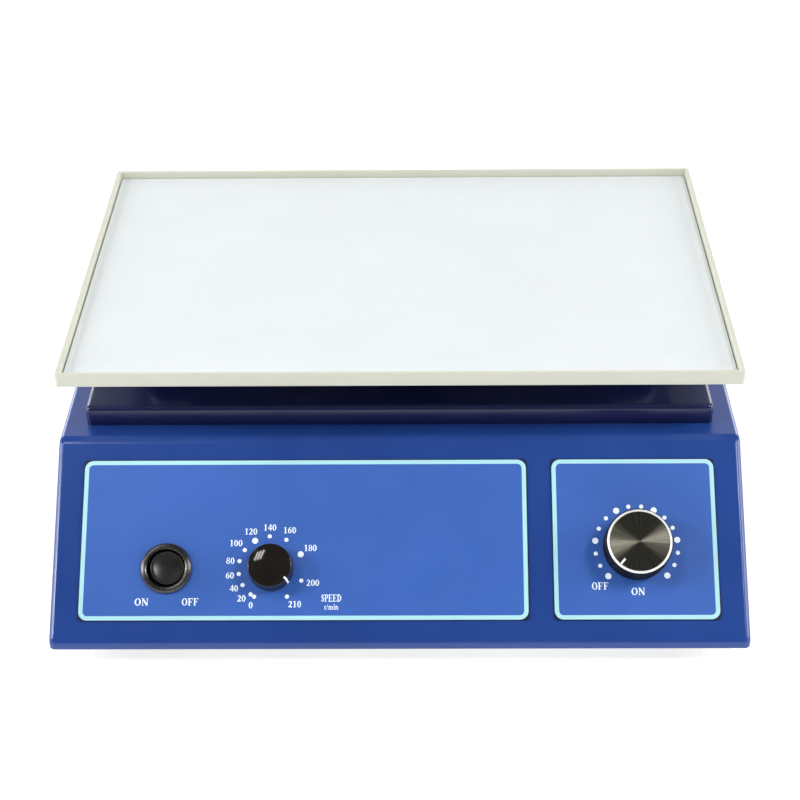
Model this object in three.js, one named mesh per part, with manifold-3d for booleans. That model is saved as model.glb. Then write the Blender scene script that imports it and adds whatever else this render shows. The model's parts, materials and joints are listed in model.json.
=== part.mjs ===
// Orbital shaker: a low wedge-fronted case with a flat tray that circles on five cranks.
// Millimetres, +Z up, front towards -Y. The origin is the middle of the footprint, on the
// surface that the rubber feet stand on.
import * as THREE from 'three';
import { mergeVertices } from 'three/addons/utils/BufferGeometryUtils.js';
import Module from 'manifold-3d';

const wasm = await Module();
wasm.setup();

// ---- driving dimensions -------------------------------------------------------------
const CASE_WIDTH = 317;
const CASE_DEPTH = 284;
const CASE_FRONT_Y = -143;
const CASE_BACK_Y = CASE_FRONT_Y + CASE_DEPTH;
const FOOT_HEIGHT = 10;
const LIP_HEIGHT = 4;
const PANEL_RUN = 72;
const PANEL_DROP = 62;
const SHEET = 1.2;
const EDGE_RADIUS = 2.2;
const TOP_Z = FOOT_HEIGHT + LIP_HEIGHT + PANEL_DROP;
const PANEL_TOP_Y = CASE_FRONT_Y + PANEL_RUN;
const PANEL_TILT = Math.atan2(PANEL_DROP, PANEL_RUN);
const PANEL_LENGTH = Math.hypot(PANEL_RUN, PANEL_DROP);

const DECK_WIDTH = 294;
const DECK_DEPTH = 190;
const DECK_HEIGHT = 9.8;
const DECK_TOP_Z = TOP_Z + DECK_HEIGHT;
const DECK_CENTRE_Y = (PANEL_TOP_Y + CASE_BACK_Y) / 2;
const DECK_CORNER = 4;
const DECK_EDGE = 2.4;

const TRAY_WIDTH = 311.2;
const TRAY_DEPTH = 205.2;
const TRAY_HEIGHT = 6.8;
const TRAY_BOTTOM_Z = 109;
const TRAY_FLOOR = 1.5;
const TRAY_WALL = 2;
const TRAY_CORNER = 2;
const TRAY_EDGE = 0.6;
const MAT_THICKNESS = 1.5;
const MAT_MARGIN = 0.6;

// The crank throw is half the orbit. At rest the crank pins point to the front.
const CRANK_THROW = 10;
const CRANK_REST = THREE.MathUtils.degToRad(-86.5);
const PIN_X = CRANK_THROW * Math.cos(CRANK_REST);
const PIN_Y = CRANK_THROW * Math.sin(CRANK_REST);
const CRANK_DISC_Z = DECK_TOP_Z + 1.2;
const CRANK_DISC_THICKNESS = 5.6;
const CRANK_DISC_RADIUS = 22;
const WEIGHT_RADIUS = 38;
const WEIGHT_OFFSET = 4;
const IDLER_DISC_RADIUS = 18;
const POST_BOTTOM_Z = 48;
const PIN_RADIUS = 4;
const PIN_TOP_Z = 104.5;
const IDLER_X = 110;
const IDLER_Y = 55;
const IDLERS = [
  [-IDLER_X, DECK_CENTRE_Y - IDLER_Y],
  [IDLER_X, DECK_CENTRE_Y - IDLER_Y],
  [-IDLER_X, DECK_CENTRE_Y + IDLER_Y],
  [IDLER_X, DECK_CENTRE_Y + IDLER_Y],
];
const MAIN_SHAFT_RADIUS = 6;
const IDLER_SHAFT_RADIUS = 4;
const MAIN_SHAFT_HOLE = 10;
const IDLER_SHAFT_HOLE = 7;
const RUNNING_FIT = 0.12;
const GAP = 0.1;
const TURNED_GAP = 0.3;

const DRIVEN_RADIUS = 32;
const MOTOR_PULLEY_RADIUS = 10;
const MOTOR_X = -88;
const PULLEY_Z = 22;
const PULLEY_WIDTH = 12;
const FLANGE = 1.5;
const FLANGE_RISE = 2.8;
const BELT_THICKNESS = 1.5;
const BELT_CLEARANCE = 0.15;

// Places on the sloping panel: x across, and the distance down from its top edge.
const LABEL_TOP = 10.4;
const LABEL_HEIGHT = 75;
const LABEL_THICKNESS = 0.3;
const LABEL_CORNER = 3;
const PANEL_HOLES = { switch: 10.4, speed: 4.9, timer: 5.4 };
const SPEED_LABEL = { left: -145.7, right: 59 };
const TIMER_LABEL = { left: 70, right: 145.4 };
const SWITCH = { x: -106, down: 61.3 };
const SPEED = { x: -58.2, down: 61.4 };
const TIMER = { x: 108.3, down: 51.8 };

const FEET = [[-128, -113], [128, -113], [-128, 113], [128, 113]];
const FOOT = { top: FOOT_HEIGHT + 0.1, bore: 2.2, seat: 4, counterbore: 4.5 };
const FLOOR_PLATE = { lift: 0.2, thickness: 1.6, inset: SHEET + 0.3 };
const FLOOR_VENTS = { count: 6, left: -70, right: -36, front: -20, pitch: 14, width: 4 };
const REAR_VENTS = { count: 10, left: -118, pitch: 9, width: 4, low: 30, high: 58 };
const MOUNTING_PLATE = { halfWidth: 136, halfDepth: 85, corner: 8, thickness: 3 };
const BOARD = { x0: 52, x1: 138, y0: -44, y1: 22, z: 19 };

// The mains inlet: a flange outside the rear wall, a body through it, and two sockets.
const INLET = { x: 95, z: 44, width: 32, height: 44, flange: 2 };
const INLET_BODY = { halfWidth: 14, halfHeight: 19, depth: 22 };
const INLET_FACE_Y = CASE_BACK_Y + INLET.flange;
const CAVITY = { halfWidth: 12.4, low: 0.6, high: 17.4, depth: 16 };
const DRAWER = { halfWidth: 10.5, low: -16, high: -7, depth: 18 };
const DRAWER_GAP = 0.3;
const BLADE = { halfWidth: 1, halfHeight: 2, tail: 30, recess: 2 };

// The platform under the tray: cups for the crank pins, and the plate that joins them.
const CUP = { bottom: 95, radius: 12, flange: 17, flangeBottom: 102.8, top: 105.8 };
const CARRIER = { halfWidth: 132, halfDepth: 77, corner: 10, bottom: CUP.top + GAP };

const FINE = 32;
const ROUND = 24;
const COARSE = 16;

// ---- shape helpers ------------------------------------------------------------------
function solid(geometry) {
  const bare = geometry.clone();
  bare.deleteAttribute('normal');
  bare.deleteAttribute('uv');
  const merged = mergeVertices(bare, 1e-4);
  return new wasm.Manifold(new wasm.Mesh({
    numProp: 3,
    vertProperties: new Float32Array(merged.attributes.position.array),
    triVerts: new Uint32Array(merged.index.array),
  }));
}

function geometryOf(manifold) {
  const mesh = manifold.getMesh();
  const geometry = new THREE.BufferGeometry();
  geometry.setAttribute('position', new THREE.BufferAttribute(mesh.vertProperties, 3));
  geometry.setIndex(new THREE.BufferAttribute(mesh.triVerts, 1));
  geometry.computeVertexNormals();
  return geometry;
}

function block(x0, x1, y0, y1, z0, z1) {
  const geometry = new THREE.BoxGeometry(x1 - x0, y1 - y0, z1 - z0);
  geometry.translate((x0 + x1) / 2, (y0 + y1) / 2, (z0 + z1) / 2);
  return solid(geometry);
}

function rod(x, y, radius, z0, z1, sides = ROUND) {
  const geometry = new THREE.CylinderGeometry(radius, radius, z1 - z0, sides);
  geometry.rotateX(Math.PI / 2);
  geometry.translate(x, y, (z0 + z1) / 2);
  return solid(geometry);
}

// A turned shape from [radius, z] pairs. It starts and ends on the axis, or closes on itself.
function turned(profile, sides = ROUND) {
  const points = profile.map(([radius, z]) => new THREE.Vector2(radius, z));
  const closesOnAxis = profile[0][0] === 0;
  if (!closesOnAxis) points.push(points[0].clone());
  const geometry = new THREE.LatheGeometry(points, sides);
  geometry.rotateX(Math.PI / 2);
  return solid(geometry);
}

function ring(outer, inner, z0, z1, sides = ROUND) {
  return turned([[inner, z0], [outer, z0], [outer, z1], [inner, z1]], sides);
}

function roundedOutline(x0, x1, y0, y1, radius) {
  const outline = new THREE.Shape();
  outline.absarc(x1 - radius, y1 - radius, radius, 0, Math.PI / 2);
  outline.absarc(x0 + radius, y1 - radius, radius, Math.PI / 2, Math.PI);
  outline.absarc(x0 + radius, y0 + radius, radius, Math.PI, 1.5 * Math.PI);
  outline.absarc(x1 - radius, y0 + radius, radius, 1.5 * Math.PI, 2 * Math.PI);
  return outline;
}

// An outline drawn out along z, with its edges at both ends rounded inside the outline.
function extrusion(outline, z0, z1, radius, segments) {
  const geometry = new THREE.ExtrudeGeometry(outline, {
    depth: z1 - z0 - 2 * radius,
    bevelEnabled: radius > 0,
    bevelThickness: radius,
    bevelSize: radius,
    bevelOffset: -radius,
    bevelSegments: 3,
    curveSegments: segments,
  });
  geometry.translate(0, 0, z0 + radius);
  return geometry;
}

function slab(outline, z0, z1, radius = 0, segments = 3) {
  return solid(extrusion(outline, z0, z1, radius, segments));
}

const ALONG_X = new THREE.Matrix4().makeBasis(
  new THREE.Vector3(0, 1, 0),
  new THREE.Vector3(0, 0, 1),
  new THREE.Vector3(1, 0, 0),
);

// A side view of [y, z] corners, drawn out across the width.
function sideSlab(corners, x0, x1, radius = 0) {
  const outline = new THREE.Shape(corners.map(([y, z]) => new THREE.Vector2(y, z)));
  const geometry = extrusion(outline, x0, x1, radius, 1);
  geometry.applyMatrix4(ALONG_X);
  return solid(geometry);
}

function joined(parts) {
  return parts.reduce((sum, part) => sum.add(part));
}

function cut(body, tools) {
  return tools.reduce((rest, tool) => rest.subtract(tool), body);
}

// ---- scene helpers ------------------------------------------------------------------
const shaker = new THREE.Group();
const panel = new THREE.Group();
panel.position.set(0, PANEL_TOP_Y, TOP_Z);
panel.rotation.x = PANEL_TILT;
shaker.add(panel);

function control(place) {
  const group = new THREE.Group();
  group.position.set(place.x, -place.down, 0);
  panel.add(group);
  return group;
}

function add(parent, name, manifold, colour, roughness, metalness) {
  const material = new THREE.MeshStandardMaterial({ color: colour, roughness, metalness });
  const mesh = new THREE.Mesh(geometryOf(manifold), material);
  mesh.name = name;
  parent.add(mesh);
  return mesh;
}

const BLUE_PAINT = [0x34589c, 0.35, 0.3];
const DARK_BLUE_PAINT = [0x1c2150, 0.3, 0.3];
const CREAM_PAINT = [0xd0d4c4, 0.45, 0.1];
const LABEL_FILM = [0x466cc4, 0.5, 0.0];
const BLACK_PLASTIC = [0x1c1a18, 0.35, 0.0];
const RUBBER = [0x222222, 0.9, 0.0];
const STEEL = [0x9a9da2, 0.3, 0.9];
const ZINC = [0xb9bcc0, 0.4, 0.8];
const ALLOY = [0xc4c6c8, 0.35, 0.8];
const BRASS = [0xb8963f, 0.35, 0.9];
const GREEN_BOARD = [0x1f6a3a, 0.5, 0.0];
const MAT_RUBBER = [0xf0f4f6, 0.9, 0.0];

// ---- case ---------------------------------------------------------------------------
function caseCover() {
  const half = CASE_WIDTH / 2;
  const lipTop = FOOT_HEIGHT + LIP_HEIGHT;
  const outer = sideSlab([
    [CASE_FRONT_Y, FOOT_HEIGHT - EDGE_RADIUS],
    [CASE_BACK_Y, FOOT_HEIGHT - EDGE_RADIUS],
    [CASE_BACK_Y, TOP_Z],
    [PANEL_TOP_Y, TOP_Z],
    [CASE_FRONT_Y, lipTop],
  ], -half, half, EDGE_RADIUS);
  const below = block(-half - 1, half + 1, CASE_FRONT_Y - 1, CASE_BACK_Y + 1, 0, FOOT_HEIGHT);
  // The inner face of the slope lies one sheet thickness in from the outer one.
  const slope = PANEL_DROP / PANEL_RUN;
  const sink = SHEET / Math.cos(PANEL_TILT);
  const innerFront = CASE_FRONT_Y + SHEET;
  const innerTop = TOP_Z - SHEET;
  const hollow = sideSlab([
    [innerFront, 0],
    [CASE_BACK_Y - SHEET, 0],
    [CASE_BACK_Y - SHEET, innerTop],
    [PANEL_TOP_Y + (sink - SHEET) / slope, innerTop],
    [innerFront, lipTop - sink + SHEET * slope],
  ], -half + SHEET, half - SHEET);
  const shell = cut(outer, [below, hollow]);

  const wallInside = CASE_BACK_Y - SHEET - 1;
  const wallOutside = CASE_BACK_Y + 1;
  const slots = [];
  for (let i = 0; i < REAR_VENTS.count; i += 1) {
    const x = REAR_VENTS.left + i * REAR_VENTS.pitch;
    const { width, low, high } = REAR_VENTS;
    slots.push(block(x, x + width, wallInside, wallOutside, low, high));
  }
  const halfInletX = INLET_BODY.halfWidth + 0.4;
  const halfInletZ = INLET_BODY.halfHeight + 0.4;
  const inletHole = block(
    INLET.x - halfInletX, INLET.x + halfInletX,
    wallInside, wallOutside,
    INLET.z - halfInletZ, INLET.z + halfInletZ,
  );
  const shafts = shaftHoles(IDLER_SHAFT_HOLE, MAIN_SHAFT_HOLE, innerTop - 1, TOP_Z + 1);
  return cut(shell, [...shafts, ...slots, inletHole, ...panelHoles()]);
}

// Round tools at the four idler shafts and the main shaft.
function shaftHoles(idlerRadius, mainRadius, z0, z1) {
  const idlers = IDLERS.map(([x, y]) => rod(x, y, idlerRadius, z0, z1, COARSE));
  return [...idlers, rod(0, DECK_CENTRE_Y, mainRadius, z0, z1, COARSE)];
}

// Round tools through the sloping panel at the switch, the speed control and the timer.
function panelHoles() {
  const places = [
    [SWITCH, PANEL_HOLES.switch], [SPEED, PANEL_HOLES.speed], [TIMER, PANEL_HOLES.timer],
  ];
  const length = 8;
  return places.map(([place, radius]) => {
    const tool = new THREE.CylinderGeometry(radius, radius, length, COARSE);
    tool.rotateX(Math.PI / 2);
    tool.translate(place.x, -place.down, 0);
    tool.rotateX(PANEL_TILT);
    tool.translate(0, PANEL_TOP_Y, TOP_Z);
    return solid(tool);
  });
}

function deckCover() {
  const halfX = DECK_WIDTH / 2;
  const y0 = DECK_CENTRE_Y - DECK_DEPTH / 2;
  const y1 = DECK_CENTRE_Y + DECK_DEPTH / 2;
  // The pan is drawn too deep and cut off at the bottom, so that only its top edge is rounded.
  const outline = roundedOutline(-halfX, halfX, y0, y1, DECK_CORNER);
  const outer = slab(outline, TOP_Z - 6, DECK_TOP_Z, DECK_EDGE);
  const below = block(-halfX - 1, halfX + 1, y0 - 1, y1 + 1, TOP_Z - 10, TOP_Z + GAP);
  const hollow = block(
    -halfX + SHEET, halfX - SHEET,
    y0 + SHEET, y1 - SHEET,
    TOP_Z - 10, DECK_TOP_Z - SHEET,
  );
  const shafts = shaftHoles(IDLER_SHAFT_HOLE, MAIN_SHAFT_HOLE, TOP_Z, DECK_TOP_Z + 1);
  return cut(outer, [below, hollow, ...shafts]);
}

function basePlate() {
  const { lift, thickness, inset } = FLOOR_PLATE;
  const half = CASE_WIDTH / 2 - inset;
  const bottom = FOOT_HEIGHT + lift;
  const top = bottom + thickness;
  const plate = block(-half, half, CASE_FRONT_Y + inset, CASE_BACK_Y - inset, bottom, top);
  const postRadius = 3;
  const postInset = 5;
  const posts = [];
  for (const x of [BOARD.x0 + postInset, BOARD.x1 - postInset]) {
    for (const y of [BOARD.y0 + postInset, BOARD.y1 - postInset]) {
      posts.push(rod(x, y, postRadius, bottom + 0.5, BOARD.z - GAP, 12));
    }
  }
  const screwHoles = FEET.map(([x, y]) => rod(x, y, FOOT.bore, 0, top + 1, COARSE));
  const slots = [];
  for (let i = 0; i < FLOOR_VENTS.count; i += 1) {
    const { left, right, front, pitch, width } = FLOOR_VENTS;
    const y = front + i * pitch;
    slots.push(block(left, right, y, y + width, 0, top + 1));
  }
  return cut(joined([plate, ...posts]), [...screwHoles, ...slots]);
}

const PLATE_TOP_Z = TOP_Z - SHEET - GAP;
const PLATE_BOTTOM_Z = PLATE_TOP_Z - MOUNTING_PLATE.thickness;

function mountingPlate() {
  const { halfWidth, halfDepth, corner } = MOUNTING_PLATE;
  const y0 = DECK_CENTRE_Y - halfDepth;
  const y1 = DECK_CENTRE_Y + halfDepth;
  const outline = roundedOutline(-halfWidth, halfWidth, y0, y1, corner);
  const plate = slab(outline, PLATE_BOTTOM_Z, PLATE_TOP_Z);
  return cut(plate, shaftHoles(
    IDLER_SHAFT_HOLE - 1, MAIN_SHAFT_HOLE - 1, PLATE_BOTTOM_Z - 1, PLATE_TOP_Z + 1,
  ));
}

add(shaker, 'housing_cover', caseCover(), ...BLUE_PAINT);
add(shaker, 'deck_cover', deckCover(), ...DARK_BLUE_PAINT);
add(shaker, 'base_plate', basePlate(), ...ZINC);
add(shaker, 'mounting_plate', mountingPlate(), ...ZINC);

FEET.forEach(([x, y], i) => {
  const { top, bore, seat, counterbore } = FOOT;
  const foot = turned([
    [bore, seat], [counterbore, seat], [counterbore, 0], [10, 0], [11, 1.5], [10.2, top],
    [bore, top],
  ], COARSE);
  const shank = bore - 0.2;
  const head = seat - GAP;
  const screw = turned([[0, 1.4], [3.6, 1.4], [3.6, head], [shank, head], [shank, 16], [0, 16]], 12);
  add(shaker, `foot_${i + 1}`, foot, ...RUBBER).position.set(x, y, 0);
  add(shaker, `foot_screw_${i + 1}`, screw, ...STEEL).position.set(x, y, 0);
});

// ---- front panel controls -----------------------------------------------------------
function labelFilm({ left, right }, holes) {
  const bottom = -LABEL_TOP - LABEL_HEIGHT;
  const outline = roundedOutline(left, right, bottom, -LABEL_TOP, LABEL_CORNER);
  const tools = holes.map(([place, radius]) => rod(place.x, -place.down, radius, -1, 2, COARSE));
  return cut(slab(outline, GAP, GAP + LABEL_THICKNESS), tools);
}

const speedHoles = [[SWITCH, PANEL_HOLES.switch], [SPEED, PANEL_HOLES.speed]];
add(panel, 'speed_label', labelFilm(SPEED_LABEL, speedHoles), ...LABEL_FILM);
add(panel, 'timer_label', labelFilm(TIMER_LABEL, [[TIMER, PANEL_HOLES.timer]]), ...LABEL_FILM);

const LABEL_FACE = GAP + LABEL_THICKNESS;
const switchPlace = control(SWITCH);
const speedPlace = control(SPEED);
const timerPlace = control(TIMER);

// The rocker is part of a ball, so it turns inside its round hole without touching it.
const ROCKER_BALL = 8.4;
const ROCKER_FACE = 3.5;
const ROCKER_FOOT = -5.5;
const ROCKER_PIVOT = -1.2;
const ROCKER_TILT = THREE.MathUtils.degToRad(11);
const SWITCH_BORE = 8.7;
const SWITCH_BODY = { radius: 9.8, bottom: -20, floor: -9 };

function switchHousing() {
  const seat = LABEL_FACE + TURNED_GAP;
  const { radius, bottom, floor } = SWITCH_BODY;
  return turned([
    [0, bottom], [radius, bottom], [radius, seat], [11.5, seat], [11.5, 1.9], [11.1, 2.5],
    [10.4, 2.8], [9.2, 2.8], [SWITCH_BORE, 2.3], [SWITCH_BORE, floor], [0, floor],
  ]);
}

function switchRocker() {
  const profile = [[0, ROCKER_FOOT]];
  const steps = 6;
  const low = Math.asin(ROCKER_FOOT / ROCKER_BALL);
  const high = Math.asin(ROCKER_FACE / ROCKER_BALL);
  for (let i = 0; i <= steps; i += 1) {
    const angle = low + (high - low) * i / steps;
    profile.push([ROCKER_BALL * Math.cos(angle), ROCKER_BALL * Math.sin(angle)]);
  }
  profile.push([0, ROCKER_FACE]);
  return turned(profile);
}

add(switchPlace, 'switch_housing', switchHousing(), ...BLACK_PLASTIC);
const rocker = add(switchPlace, 'switch_rocker', switchRocker(), ...BLACK_PLASTIC);
rocker.position.z = ROCKER_PIVOT;
rocker.rotation.y = ROCKER_TILT;

function hexNut(radius, bore, thickness) {
  const z0 = LABEL_FACE + 0.35;
  const z1 = z0 + thickness;
  return rod(0, 0, radius, z0, z1, 6).subtract(rod(0, 0, bore, z0 - 1, z1 + 1, COARSE));
}

const SHAFT_RADIUS = 3;
const SHAFT_BORE = SHAFT_RADIUS + 0.15;
const KNOB_BORE = SHAFT_RADIUS + GAP;
const KNOB_FOOT = 1.1;
const BUSH_TOP = 5;
const BODY_TOP = -SHEET - TURNED_GAP;
const SPEED_KNOB = { radius: 10.5, height: 11 };
const TIMER_KNOB = { radius: 15.4, height: 14 };

function rotaryControl(bodyRadius, bushRadius, depth) {
  const bottom = BODY_TOP - depth;
  const floor = bottom + 3;
  return turned([
    [0, bottom], [bodyRadius, bottom], [bodyRadius, BODY_TOP], [bushRadius, BODY_TOP],
    [bushRadius, BUSH_TOP], [SHAFT_BORE, BUSH_TOP], [SHAFT_BORE, floor], [0, floor],
  ]);
}

function timerCase(half, bushRadius, depth) {
  const bush = rod(0, 0, bushRadius, BODY_TOP - 1, BUSH_TOP);
  const box = block(-half, half, -half, half, BODY_TOP - depth, BODY_TOP);
  const floor = BODY_TOP - depth + 4;
  return joined([box, bush]).subtract(rod(0, 0, SHAFT_BORE, floor, BUSH_TOP + 1));
}

function shaft(z0, z1) {
  return rod(0, 0, SHAFT_RADIUS, z0, z1, ROUND);
}

function speedKnob() {
  const { radius, height } = SPEED_KNOB;
  const socket = height - 2;
  const nutRoom = 6.8;
  return turned([
    [nutRoom, KNOB_FOOT], [radius, KNOB_FOOT], [radius, 2.2], [radius - 0.7, height - 1.4],
    [radius - 1.6, height - 0.4], [0, height],
    [0, socket], [KNOB_BORE, socket], [KNOB_BORE, 6], [nutRoom, 6],
  ], FINE);
}

function timerKnob() {
  const { radius, height } = TIMER_KNOB;
  const shelf = height - 0.8;
  const rim = radius - 1.6;
  const socket = height - 4;
  const nutRoom = 9.5;
  return turned([
    [nutRoom, KNOB_FOOT], [radius, KNOB_FOOT], [radius, 2.4], [radius - 0.6, shelf],
    [radius - 1.2, height], [rim, height], [rim, shelf], [0, shelf],
    [0, socket], [KNOB_BORE, socket], [KNOB_BORE, 7], [nutRoom, 7],
  ], FINE);
}

function timerKnobFace() {
  const top = TIMER_KNOB.height - 0.1;
  return rod(0, 0, TIMER_KNOB.radius - 1.8, top - 0.6, top, FINE);
}

add(speedPlace, 'speed_control', rotaryControl(8.5, 4.5, 10), ...ZINC);
add(speedPlace, 'speed_control_nut', hexNut(6.4, 4.6, 1.85), ...BRASS);
add(speedPlace, 'speed_shaft', shaft(-7, 8.7), ...ALLOY);
add(speedPlace, 'speed_knob', speedKnob(), ...BLACK_PLASTIC);
add(timerPlace, 'timer_case', timerCase(18, 5, 20), ...ZINC);
add(timerPlace, 'timer_nut', hexNut(8.2, 5.1, 2.25), ...BRASS);
add(timerPlace, 'timer_shaft', shaft(-14, 9.7), ...ALLOY);
add(timerPlace, 'timer_knob', timerKnob(), ...BLACK_PLASTIC);
add(timerPlace, 'timer_knob_face', timerKnobFace(), ...ALLOY);

// ---- drive --------------------------------------------------------------------------
const BEARING_OUTER = 14;
const BEARING_WIDTH = 8;
const BEARING_END_GAP = 0.2;
const HOUSING_LENGTH = 31;
const HANG_Z = PLATE_BOTTOM_Z - GAP;

function mainBearingHousing() {
  const seat = BEARING_OUTER + GAP;
  const bottom = HANG_Z - HOUSING_LENGTH;
  const flangeZ = HANG_Z - 4.5;
  const shoulder = BEARING_WIDTH + 2 * BEARING_END_GAP;
  return turned([
    [seat, bottom], [18, bottom], [18, flangeZ], [27, flangeZ], [27, HANG_Z], [seat, HANG_Z],
    [seat, HANG_Z - shoulder], [10, HANG_Z - shoulder],
    [10, bottom + shoulder], [seat, bottom + shoulder],
  ]);
}

const mainBearing = ring(BEARING_OUTER, MAIN_SHAFT_RADIUS + RUNNING_FIT, 0, BEARING_WIDTH);
add(shaker, 'main_bearing_housing', mainBearingHousing(), ...ALLOY).position.y = DECK_CENTRE_Y;
add(shaker, 'main_bearing_upper', mainBearing, ...STEEL)
  .position.set(0, DECK_CENTRE_Y, HANG_Z - BEARING_WIDTH - BEARING_END_GAP);
add(shaker, 'main_bearing_lower', mainBearing, ...STEEL)
  .position.set(0, DECK_CENTRE_Y, HANG_Z - HOUSING_LENGTH + BEARING_END_GAP);

function pulley(radius, bore, sides) {
  const rim = radius + FLANGE_RISE;
  return turned([
    [bore, 0], [rim, 0], [rim, FLANGE], [radius, FLANGE], [radius, PULLEY_WIDTH - FLANGE],
    [rim, PULLEY_WIDTH - FLANGE], [rim, PULLEY_WIDTH], [bore, PULLEY_WIDTH],
  ], sides);
}

function mainCrank() {
  const z0 = CRANK_DISC_Z;
  const z1 = z0 + CRANK_DISC_THICKNESS;
  const disc = rod(0, 0, CRANK_DISC_RADIUS, z0, z1, FINE);
  // The counterweight is just under half a disc, on the side away from the pin.
  const weight = rod(0, 0, WEIGHT_RADIUS, z0, z1 + 1.5, FINE);
  const cutter = 2 * WEIGHT_RADIUS + 4;
  const cheek = new THREE.BoxGeometry(cutter, cutter, cutter);
  cheek.translate(0, WEIGHT_OFFSET - cutter / 2, z0);
  cheek.rotateZ(CRANK_REST + Math.PI / 2);
  const lobe = weight.subtract(solid(cheek));
  const pin = rod(PIN_X, PIN_Y, PIN_RADIUS, z0 + 1, PIN_TOP_Z);
  const socket = rod(0, 0, MAIN_SHAFT_RADIUS + GAP, z0 - 1, z0 + 3);
  return joined([disc, lobe, pin]).subtract(socket);
}

function idlerCrank() {
  const z0 = CRANK_DISC_Z;
  const disc = rod(0, 0, IDLER_DISC_RADIUS, z0, z0 + CRANK_DISC_THICKNESS);
  const pin = rod(PIN_X, PIN_Y, PIN_RADIUS, z0 + 1, PIN_TOP_Z);
  const spindle = rod(0, 0, IDLER_SHAFT_RADIUS, POST_BOTTOM_Z - 2, z0 + 1);
  return joined([disc, pin, spindle]);
}

function idlerPost() {
  const bore = IDLER_SHAFT_RADIUS + RUNNING_FIT;
  const flangeZ = HANG_Z - 3.5;
  return turned([
    [bore, POST_BOTTOM_Z], [11, POST_BOTTOM_Z], [11, flangeZ], [16, flangeZ], [16, HANG_Z],
    [bore, HANG_Z],
  ]);
}

function pinBearing() {
  const bore = PIN_RADIUS + RUNNING_FIT;
  const { bottom, radius, flange, flangeBottom, top } = CUP;
  return turned([
    [bore, bottom], [radius, bottom], [radius, flangeBottom], [flange, flangeBottom],
    [flange, top], [bore, top],
  ]);
}

const mainShaft = rod(0, 0, MAIN_SHAFT_RADIUS, PULLEY_Z - 2, CRANK_DISC_Z + 2.8);
add(shaker, 'main_shaft', mainShaft, ...STEEL).position.y = DECK_CENTRE_Y;
add(shaker, 'main_crank', mainCrank(), ...ALLOY).position.y = DECK_CENTRE_Y;
add(shaker, 'driven_pulley', pulley(DRIVEN_RADIUS, MAIN_SHAFT_RADIUS + GAP, FINE), ...ALLOY)
  .position.set(0, DECK_CENTRE_Y, PULLEY_Z);
add(shaker, 'pin_bearing_main', pinBearing(), ...STEEL)
  .position.set(PIN_X, DECK_CENTRE_Y + PIN_Y, 0);
IDLERS.forEach(([x, y], i) => {
  add(shaker, `idler_crank_${i + 1}`, idlerCrank(), ...ALLOY).position.set(x, y, 0);
  add(shaker, `idler_post_${i + 1}`, idlerPost(), ...STEEL).position.set(x, y, 0);
  add(shaker, `pin_bearing_${i + 1}`, pinBearing(), ...STEEL).position.set(x + PIN_X, y + PIN_Y, 0);
});

const MOTOR = { radius: 19, shaft: 2.5, spigot: 6, bottom: 38.2, top: 69.9 };
const BRACKET = { halfWidth: 24, halfDepth: 22, thickness: 2, foot: 10 };

function motorCase() {
  const { radius, shaft, spigot, bottom, top } = MOTOR;
  const bore = shaft + 0.15;
  return turned([
    [0, bottom + 9], [bore, bottom + 9], [bore, bottom - 2], [spigot, bottom - 2],
    [spigot, bottom], [radius, bottom], [radius, top - 1.4], [radius - 1.5, top], [0, top],
  ]);
}

function motorBracket() {
  const { halfWidth, halfDepth, thickness, foot } = BRACKET;
  const shelfTop = MOTOR.bottom - GAP;
  const shelfBottom = shelfTop - thickness;
  const slice = (x0, x1, z0, z1) => block(x0, x1, -halfDepth, halfDepth, z0, z1);
  const hole = rod(0, 0, MOTOR.spigot + 0.5, shelfBottom - 1, shelfTop + 1, COARSE);
  return joined([
    slice(-halfWidth, halfWidth, shelfBottom, shelfTop),
    slice(-halfWidth, -halfWidth + thickness, shelfBottom, HANG_Z),
    slice(halfWidth - thickness, halfWidth, shelfBottom, HANG_Z),
    slice(-halfWidth + thickness - foot, -halfWidth + thickness, HANG_Z - thickness, HANG_Z),
    slice(halfWidth - thickness, halfWidth - thickness + foot, HANG_Z - thickness, HANG_Z),
  ]).subtract(hole);
}

// The belt's side of two arcs joined by straight runs, at a given rise above both pulleys.
function beltLoop(PathType, rise) {
  const large = DRIVEN_RADIUS + rise;
  const small = MOTOR_PULLEY_RADIUS + rise;
  const lean = Math.asin((large - small) / Math.abs(MOTOR_X));
  const upper = Math.PI / 2 + lean;
  const loop = new PathType();
  loop.absarc(0, 0, large, -upper, upper, false);
  loop.absarc(MOTOR_X, 0, small, upper, 2 * Math.PI - upper, false);
  return loop;
}

function driveBelt() {
  const outline = beltLoop(THREE.Shape, BELT_CLEARANCE + BELT_THICKNESS);
  outline.holes.push(beltLoop(THREE.Path, BELT_CLEARANCE));
  const sideGap = FLANGE + 0.5;
  return slab(outline, PULLEY_Z + sideGap, PULLEY_Z + PULLEY_WIDTH - sideGap, 0, 12);
}

const motorPlace = [MOTOR_X, DECK_CENTRE_Y, 0];
add(shaker, 'motor_case', motorCase(), ...STEEL).position.set(...motorPlace);
add(shaker, 'motor_bracket', motorBracket(), ...ZINC).position.set(...motorPlace);
add(shaker, 'motor_shaft', rod(0, 0, MOTOR.shaft, PULLEY_Z - 1.5, MOTOR.bottom + 7.8), ...STEEL)
  .position.set(...motorPlace);
add(shaker, 'motor_pulley', pulley(MOTOR_PULLEY_RADIUS, MOTOR.shaft + GAP, ROUND), ...ALLOY)
  .position.set(MOTOR_X, DECK_CENTRE_Y, PULLEY_Z);
add(shaker, 'drive_belt', driveBelt(), ...RUBBER).position.y = DECK_CENTRE_Y;

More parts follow.
